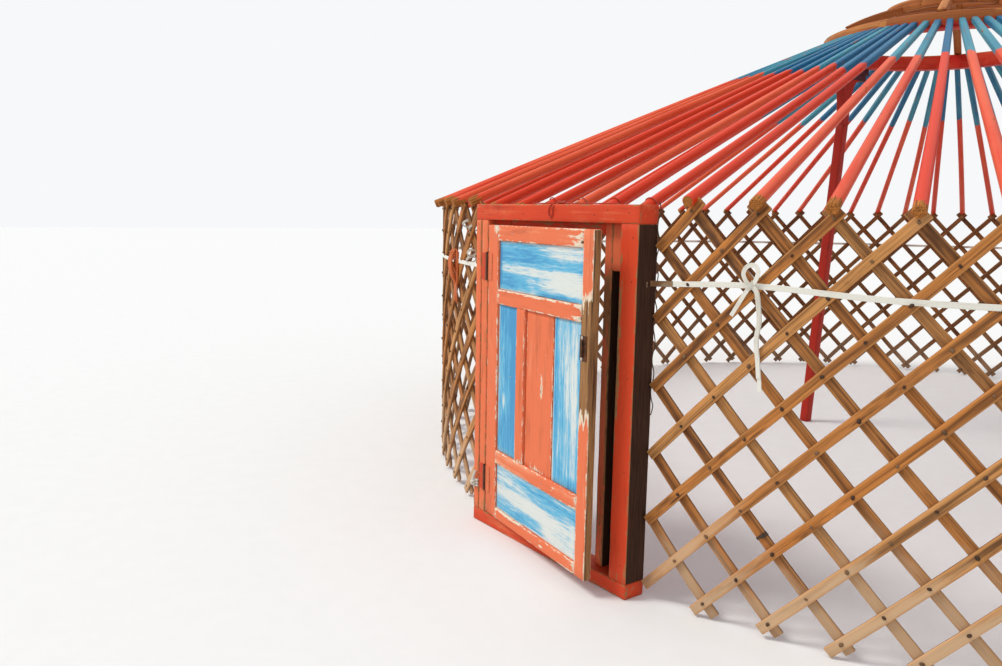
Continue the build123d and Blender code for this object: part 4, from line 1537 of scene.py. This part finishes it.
class YURT_OT_ironwork(bpy.types.Operator):
    """Gives the hinges, pins and pull their finish, and drives in the nails"""

    bl_idname = "yurt.ironwork"
    bl_label = "Ironwork"

    def execute(self, context):
        scene = context.scene
        colours = scene.yurt_colours
        iron = iron_finish(colours)
        post_plates = plate_finish("post_plate", colours, colours.frame_red)
        leaf_plates = plate_finish("leaf_plate", colours, colours.leaf_red)
        for node, finish in (
            ("door_hinge_plates", post_plates), ("door_hinge_pins", iron), ("leaf_hinge_plates", leaf_plates),
            ("leaf_pull", iron),
        ):
            materials = frame["nodes"][node].data.materials
            materials.clear()
            materials.append(finish)
        self.frame_nails(scene.yurt_door, iron)
        self.leaf_nails(scene.yurt_door, bright_finish(colours))
        return {"FINISHED"}

    def frame_nails(self, door, iron):
        """Nails along the lintel and down both posts."""
        radius = door.nail_radius * 0.8
        low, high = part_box("door_lintel")
        nails = Bars(650)
        front = low.y + 0.0006
        for across, up in (
            (0.05, 0.5), (0.16, 0.62), (0.34, 0.4), (0.55, 0.66), (0.77, 0.42), (0.84, 0.7), (0.95, 0.55),
        ):
            place = Vector((low.x + (high.x - low.x) * across, front, low.z + (high.z - low.z) * up))
            nail(nails, place, FRONT, radius)
        for height in (0.13, 0.5, 0.86, 1.22, 1.38):
            nail(nails, Vector((high.x - 0.028, front, height)), FRONT, radius)
            nail(nails, Vector((low.x + 0.02, front, height + 0.03)), FRONT, radius)
        ride(nails.object("frame_nails", iron), FRAME_BODY, None)

    def leaf_nails(self, door, steel):
        """The pull's two bolts, and nails in the left panel and in the leaf's rails and stiles."""
        radius = door.nail_radius
        low, high = box_of(leaf_places("leaf_pull"))
        stile_front = box_of(leaf_places("leaf_lock_stile"))[0].y
        panel_front = box_of(leaf_places("leaf_left_panel"))[0].y - 0.0004
        wood_front = stile_front - 0.0004
        spots = [(low.x + 0.014, stile_front - 0.0036, z, 2.3) for z in (low.z + 0.008, high.z - 0.008)]
        spots += [(x, panel_front, z, 1) for x, z in ((-0.300, 0.86), (-0.315, 0.62), (-0.21, 0.75))]
        spots += [(x, wood_front, z, 0.9) for x, z in (
            (0.06, 0.09), (0.09, 0.352), (0.36, 0.4), (0.37, 1.3), (-0.36, 1.36), (-0.2, 1.375), (0.3, 1.372),
        )]
        nails = Bars(651)
        for x, y, z, size in spots:
            nail(nails, Vector((x, y, z)), FRONT, radius * size)
        hang_leaf(nails, "leaf_nails", steel, None)


# Band


class YURT_OT_band(bpy.types.Operator):
    """Makes the girth band round the wall, tied in a bow beside the door"""

    bl_idname = "yurt.band"
    bl_label = "Girth band"

    def execute(self, context):
        scene = context.scene
        wall = scene.yurt_wall
        ties = scene.yurt_ties
        colours = scene.yurt_colours
        grid = WallGrid(wall)
        low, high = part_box("girth_band")
        height = (low.z + high.z) / 2
        width = high.z - low.z
        thickness = ties.band_thickness
        offset = wall.lath_thickness + ties.band_gap + thickness / 2
        post_low, post_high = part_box("door_post_right")
        post_side = post_high.x + 0.001
        post_y = (post_low.y + post_high.y) / 2

        def band_place(column):
            sway = 0.004 * noise.noise(Vector((column * 0.12, 3, 0)))
            lift = ties.knot_lift * math.exp(-(((grid.angle(column) - ties.knot_angle) / 0.1) ** 2))
            return grid.point(column, height + sway + lift, offset)

        steps = 300
        past = 0.6  # columns that the band follows the wall's curve on past each end
        places = [
            Vector((post_side, post_y, height)),
            *[band_place((grid.columns + 2 * past) * i / steps - past) for i in range(steps + 1)],
            Vector((-post_side, post_y, height)),
        ]
        bars = Bars(700)
        bars.bar(rounded_board(width, thickness, 0.0008, 0.01), self.upright(places, 0.08))
        self.bow(bars, ties, at(ties.knot_angle, wall.radius + offset + 0.004, height + ties.knot_lift))
        cloth = cloth_finish("band_cloth", colours.band, 900, colours.cloth_dirt)
        ride(bars.object("girth_band_cloth", cloth), FRAME_BODY, "band_cloth", "girth_band")

        thong = Bars(705)
        columns = [c / 4 for c in range(-1, 3)]
        path = [places[0], *[band_place(c) + at(grid.angle(c), 0.001) for c in columns]]
        section = rounded_board(width * 1.08, thickness * 2.2, 0.0015, 0.01)
        thong.bar(section, self.upright(path, 0.01))
        hide = cloth_finish("thong_hide", colours.thong, 300, colours.cloth_dirt)
        ride(thong.object("band_thong", hide), FRAME_BODY, None)
        return {"FINISHED"}

    def upright(self, places, step):
        """Stations along a band that stands on its edge, its face away from the yurt's middle."""
        return [
            (place, UP, Vector((place.x, place.y, 0)).normalized(), along, 1, 1)
            for place, _, _, along, _, _ in laid(places, FRONT, step)
        ]

    def bow(self, bars, ties, middle):
        """The bow's knot, its loop and its two tails, flat against the wall. The points are (across,
        up, out) from the knot, in metres."""
        outward = Vector((middle.x, middle.y, 0)).normalized()
        side = Vector((-outward.y, outward.x, 0))
        tape = rounded_board(ties.tape_width, 0.0016, 0.0006, 0.006)
        loop = [
            (0.0, 0.0, 0.004), (-0.016, 0.016, 0.008), (-0.026, 0.042, 0.009), (-0.014, 0.066, 0.008),
            (0.010, 0.070, 0.008), (0.024, 0.050, 0.009), (0.016, 0.020, 0.008), (0.002, 0.002, 0.006),
        ]
        short_tail = [
            (0.0, 0.0, 0.006), (-0.016, -0.024, 0.009), (-0.038, -0.062, 0.007), (-0.062, -0.105, 0.006),
        ]
        long_tail = [
            (0.002, 0.0, 0.006), (0.024, -0.018, 0.01), (0.034, -0.07, 0.009), (0.038, -0.12, 0.006),
            (0.031, -0.18, 0.004), (0.040, -0.25, 0.004), (0.047, -0.31, 0.004), (0.052, -0.355, 0.005),
        ]
        ring = [
            (-0.004, -0.013, 0.002), (-0.006, -0.008, 0.011), (0.0, 0.0, 0.014), (0.005, 0.009, 0.011),
            (0.004, 0.014, 0.002),
        ]
        second_tail = [(x - 0.002, z, out + 0.002) for x, z, out in long_tail[:-1]]
        for path in (loop, short_tail, long_tail, ring, second_tail):
            places = [middle + side * across + UP * rise + outward * out for across, rise, out in path]
            bars.bar(tape, laid(places, outward), rough=0.0008)


# Lashings


class YURT_OT_lashings(bpy.types.Operator):
    """Ties the door, the poles and the wall together with cords drawn tight"""

    bl_idname = "yurt.lashings"
    bl_label = "Lashings"

    def execute(self, context):
        scene = context.scene
        wall = scene.yurt_wall
        ties = scene.yurt_ties
        colours = scene.yurt_colours
        thin = round_section(ties.cord / 2, 7)
        thick = round_section(ties.rope / 2, 8)
        dirt = colours.cloth_dirt
        for name, bars, finish in (
            ("lintel_lashing", self.lintel(scene, thin), ("red_cord", colours.red_cord, 700, dirt)),
            ("dark_lashings", self.dark(wall, ties, thin),
             ("dark_cord", colours.dark_cord, 700, colours.cord_dust)),
            ("pale_lashings", self.pale(wall, ties, thin, thick),
             ("white_rope", colours.white_rope, 600, dirt)),
            ("orange_lashing", self.hank(wall, ties, thick),
             ("orange_rope", colours.orange_rope, 500, dirt)),
        ):
            ride(bars.object(name, cloth_finish(*finish)), FRAME_BODY, None)
        return {"FINISHED"}

    def lintel(self, scene, thin):
        """A thin cord round the feet of the door's poles, along the lintel's top and over its edge."""
        ties = scene.yurt_ties
        roof = RoofGrid(scene.yurt_wall, scene.yurt_roof)
        reach = roof.roof.butt_width / 2 + ties.cord * 0.6
        red = Bars(720)
        for angle, radius, height in dict(roof.poles())["roof_poles_door"]:
            foot = at(angle, radius, height)
            direction = (at(angle, roof.neck_radius, roof.neck_height) - foot).normalized()
            side = level_side(angle)
            if foot.x > -0.1:
                middle = foot + direction * 0.05
                path = coil(middle, direction, side, reach, 1.6, ties.cord * 1.2, red.random)
                red.bar(thin, laid(path, side))
        low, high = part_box("door_lintel")
        loop = [
            (0.055, 0.012), (0.02, 0.006), (-0.001, -0.012), (-0.003, -0.035), (-0.014, -0.052),
            (-0.026, -0.044), (-0.028, -0.024), (-0.016, -0.004), (0.006, 0.009), (0.03, 0.014),
        ]
        knot_x = 0.036
        hanging = [
            Vector((knot_x + x, low.y + (-0.004 if z < 0.004 else 0.012), high.z + z)) for x, z in loop
        ]
        red.bar(thin, laid(hanging, FRONT, 0.004))
        lying = [
            Vector((x, low.y + 0.016 + 0.004 * math.sin(x * 60), high.z + ties.cord * 0.7))
            for x in (-0.12, -0.05, 0.03, 0.11, 0.2, 0.3, 0.4)
        ]
        red.bar(thin, laid(lying, UP, 0.008))
        return red

    def dark(self, wall, ties, thin):
        """The dark cord laced up the right post's edge, and one tied round a lath."""
        grid = WallGrid(wall)
        dark = Bars(730)
        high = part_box("door_post_right")[1]
        corner = Vector((high.x + 0.011, high.y - 0.012, 0))
        lace = []
        for i in range(25):
            swing = math.sin(i * 1.7) * 0.007
            lace.append(corner + Vector((abs(swing) * 0.4, swing, 0.72 + 0.033 * i)))
        dark.bar(round_section(ties.cord * 0.42, 6), laid(lace, FRONT, 0.01))
        column = ties.dark_tie_column
        tie = grid.point(column, grid.crossing(column, ties.dark_tie_lath - column), -wall.lath_thickness / 2)
        out = at(grid.angle(column), 1)
        down_lath = (UP.cross(out) * grid.column_width - UP * grid.level_step).normalized()
        side = out.cross(down_lath)
        path = coil(tie, down_lath, side, wall.lath_width * 0.56, 2.2, ties.cord, dark.random, 0.55)
        dark.bar(thin, laid(path, out))
        return dark

    def pale(self, wall, ties, thin, thick):
        """Pale cords round the crossings left of the door, and a rope knotted round the left post's foot."""
        pale = Bars(740)
        for angle, rise in ((-0.283, 1.405), (-0.2515, 1.385), (-0.26, 1.262), (-0.262, 1.228)):
            out = at(angle, 1)
            axis = (UP + out.cross(UP)).normalized()
            path = coil(at(angle, wall.radius, rise), axis, out, 0.023, 2.2, ties.cord * 1.1, pale.random)
            pale.bar(thin, laid(path, out))
        low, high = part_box("door_post_left")
        jamb = Vector((low.x + 0.018, (low.y + high.y) / 2, 0.185))
        wrap = [(-0.024, 0.03), (-0.024, -0.002), (-0.012, -0.006), (0.012, -0.006), (0.022, -0.003)]
        for wind in (-1, 0, 1):
            rise = jamb.z + wind * ties.rope * 1.1
            places = [
                Vector((jamb.x + x, low.y + y, rise + 0.003 * (i % 2))) for i, (x, y) in enumerate(wrap)
            ]
            pale.bar(thick, laid(places, FRONT))
        middle = Vector((jamb.x - 0.004, low.y - 0.012, jamb.z))
        for tilt in (0.4, 1.3, 2.2):
            side = Vector((math.cos(tilt), 0, math.sin(tilt)))
            path = coil(middle, side.cross(FRONT), side, 0.011, 1.1, ties.rope, pale.random, 0.6)
            pale.bar(thick, laid(path, FRONT, 0.005))
        stub = [middle, middle + Vector((0.004, -0.002, 0.03)), middle + Vector((0.012, 0.004, 0.06))]
        pale.bar(thick, laid(stub, FRONT))
        return pale

    def hank(self, wall, ties, thick):
        """The hank of orange rope tied to the wall left of the door."""
        orange = Bars(750)
        face = wall.radius + wall.lath_thickness + 0.006
        for strand in range(16):
            angle = ties.bundle_angle + orange.random.uniform(-0.008, 0.008)
            spread = orange.random.uniform(-0.6, 0.6) * 0.012
            drop = ties.bundle_length * orange.random.uniform(0.6, 1)
            places = []
            for i in range(7):
                part = i / 6
                swell = math.sin(math.pi * min(1, part * 1.3 + 0.1))
                reach = face + 0.034 * swell * abs(math.sin(strand * 2.1))
                places.append(at(angle + spread * swell, reach, ties.bundle_head - drop * part))
            orange.bar(thick, laid(places, at(angle, 1), 0.012, lambda part: 1 - 0.35 * part))
        out = at(ties.bundle_angle, 1)
        head = at(ties.bundle_angle, face + 0.008, ties.bundle_head - 0.03)
        path = coil(head, UP, out, 0.02, 3.2, ties.rope, orange.random)
        orange.bar(thick, laid(path, out))
        return orange


# Stage


class YURT_OT_stage(bpy.types.Operator):
    """Makes the floor, the light and the camera"""

    bl_idname = "yurt.stage"
    bl_label = "Stage"

    def execute(self, context):
        scene = context.scene
        stage = scene.yurt_stage
        self.add_floor(scene, stage)
        self.add_world(scene, stage)

        lamp = bpy.data.lights.new("key_light", "SUN")
        lamp.energy = stage.key_strength
        lamp.angle = stage.key_spread
        lamp.color = scene.yurt_colours.key
        key = bpy.data.objects.new("key_light", lamp)
        scene.collection.objects.link(key)
        key.rotation_mode = "QUATERNION"
        key.rotation_quaternion = KEY_DIRECTION.to_track_quat("-Z", "Y")

        self.add_camera(scene, stage)
        scene.view_settings.view_transform = "Standard"
        return {"FINISHED"}

    def add_floor(self, scene, stage):
        """A pale floor with faint speckles."""
        size = stage.floor_size
        mesh = bpy.data.meshes.new("floor")
        corners = [(-size, -size, 0), (size, -size, 0), (size, size, 0), (-size, size, 0)]
        mesh.from_pydata(corners, [], [(0, 1, 2, 3)])
        floor = bpy.data.objects.new("floor", mesh)
        scene.collection.objects.link(floor)
        f = Finish("floor_paint")
        speckle = f.noise(f.place(), (9, 9, 9), 5)
        tint = scene.yurt_colours.floor
        base = f.mix(f.remap(speckle, 0.3, 0.7), tint, tint * 0.985)
        mesh.materials.append(f.done(base, f.remap(speckle, 0, 1, 0.85, 0.95)))
        floor.location.z = -stage.floor_drop

    def add_world(self, scene, stage):
        """An even light from all round, and a pale backdrop for what the camera or a reflection sees."""
        world = bpy.data.worlds.new("pale_sky")
        world.use_nodes = True
        tree = world.node_tree
        tree.nodes.clear()

        def node(kind, *items):
            made = tree.nodes.new("ShaderNode" + kind)
            for socket, item in zip(made.inputs, items):
                if isinstance(item, bpy.types.NodeSocket):
                    tree.links.new(item, socket)
                else:
                    socket.default_value = item
            return made

        light = node("Background", (*scene.yurt_colours.sky, 1), stage.sky_strength)
        seen = node("Background", (*scene.yurt_colours.backdrop, 1), 1.0)
        path = node("LightPath").outputs
        first = node("Math", path["Is Camera Ray"], path["Is Glossy Ray"])
        second = node("Math", first.outputs[0], path["Is Transmission Ray"])
        first.operation = second.operation = "MAXIMUM"
        mix = node("MixShader", second.outputs[0], light.outputs[0], seen.outputs[0])
        node("OutputWorld", mix.outputs[0])
        scene.world = world

    def add_camera(self, scene, stage):
        """Sets the camera where the picture was taken from."""
        forward = Vector((
            math.sin(stage.yaw) * math.cos(stage.pitch),
            math.cos(stage.yaw) * math.cos(stage.pitch),
            -math.sin(stage.pitch),
        ))
        level = Vector((math.cos(stage.yaw), -math.sin(stage.yaw), 0))
        upright = level.cross(forward)
        right = level * math.cos(stage.roll) + upright * math.sin(stage.roll)
        up = upright * math.cos(stage.roll) - level * math.sin(stage.roll)
        data = bpy.data.cameras.new("camera")
        data.sensor_width = SENSOR_WIDTH
        data.lens = stage.focal_pixels / PICTURE_WIDTH * SENSOR_WIDTH
        data.clip_start = NEAR_CLIP
        data.clip_end = FAR_CLIP
        camera = bpy.data.objects.new("camera", data)
        scene.collection.objects.link(camera)
        axes = Matrix((right, up, -forward)).transposed().to_4x4()
        place = Vector((stage.camera_x, stage.camera_y, stage.camera_z))
        camera.matrix_world = Matrix.Translation(place) @ axes
        scene.camera = camera


class YURT_PT_panel(bpy.types.Panel):
    """Lists the yurt's pieces"""

    bl_idname = "YURT_PT_panel"
    bl_label = "Yurt"
    bl_space_type = "VIEW_3D"
    bl_region_type = "UI"
    bl_category = "Yurt"

    def draw(self, context):
        for step in STEPS:
            self.layout.operator(step.bl_idname)


GROUPS = {
    "yurt_wall": YurtWallSizes,
    "yurt_roof": YurtRoofSizes,
    "yurt_door": YurtDoorSizes,
    "yurt_ties": YurtTies,
    "yurt_colours": YurtColours,
    "yurt_stage": YurtStage,
}
STEPS = (
    YURT_OT_stage,
    YURT_OT_wall,
    YURT_OT_knots,
    YURT_OT_poles,
    YURT_OT_crown,
    YURT_OT_pillars,
    YURT_OT_door_frame,
    YURT_OT_leaf,
    YURT_OT_ironwork,
    YURT_OT_band,
    YURT_OT_lashings,
)


def register():
    for group in GROUPS.values():
        bpy.utils.register_class(group)
    for step in STEPS:
        bpy.utils.register_class(step)
    bpy.utils.register_class(YURT_PT_panel)
    for name, group in GROUPS.items():
        setattr(bpy.types.Scene, name, PointerProperty(type=group))


def unregister():
    for name in GROUPS:
        delattr(bpy.types.Scene, name)
    bpy.utils.unregister_class(YURT_PT_panel)
    for step in reversed(STEPS):
        bpy.utils.unregister_class(step)
    for group in reversed(list(GROUPS.values())):
        bpy.utils.unregister_class(group)


def main():
    register()
    bpy.ops.yurt.stage()
    bpy.ops.yurt.wall()
    bpy.ops.yurt.knots()
    bpy.ops.yurt.poles()
    bpy.ops.yurt.crown()
    bpy.ops.yurt.pillars()
    bpy.ops.yurt.door_frame()
    bpy.ops.yurt.leaf()
    bpy.ops.yurt.ironwork()
    bpy.ops.yurt.band()
    bpy.ops.yurt.lashings()


if __name__ == "__main__":
    main()
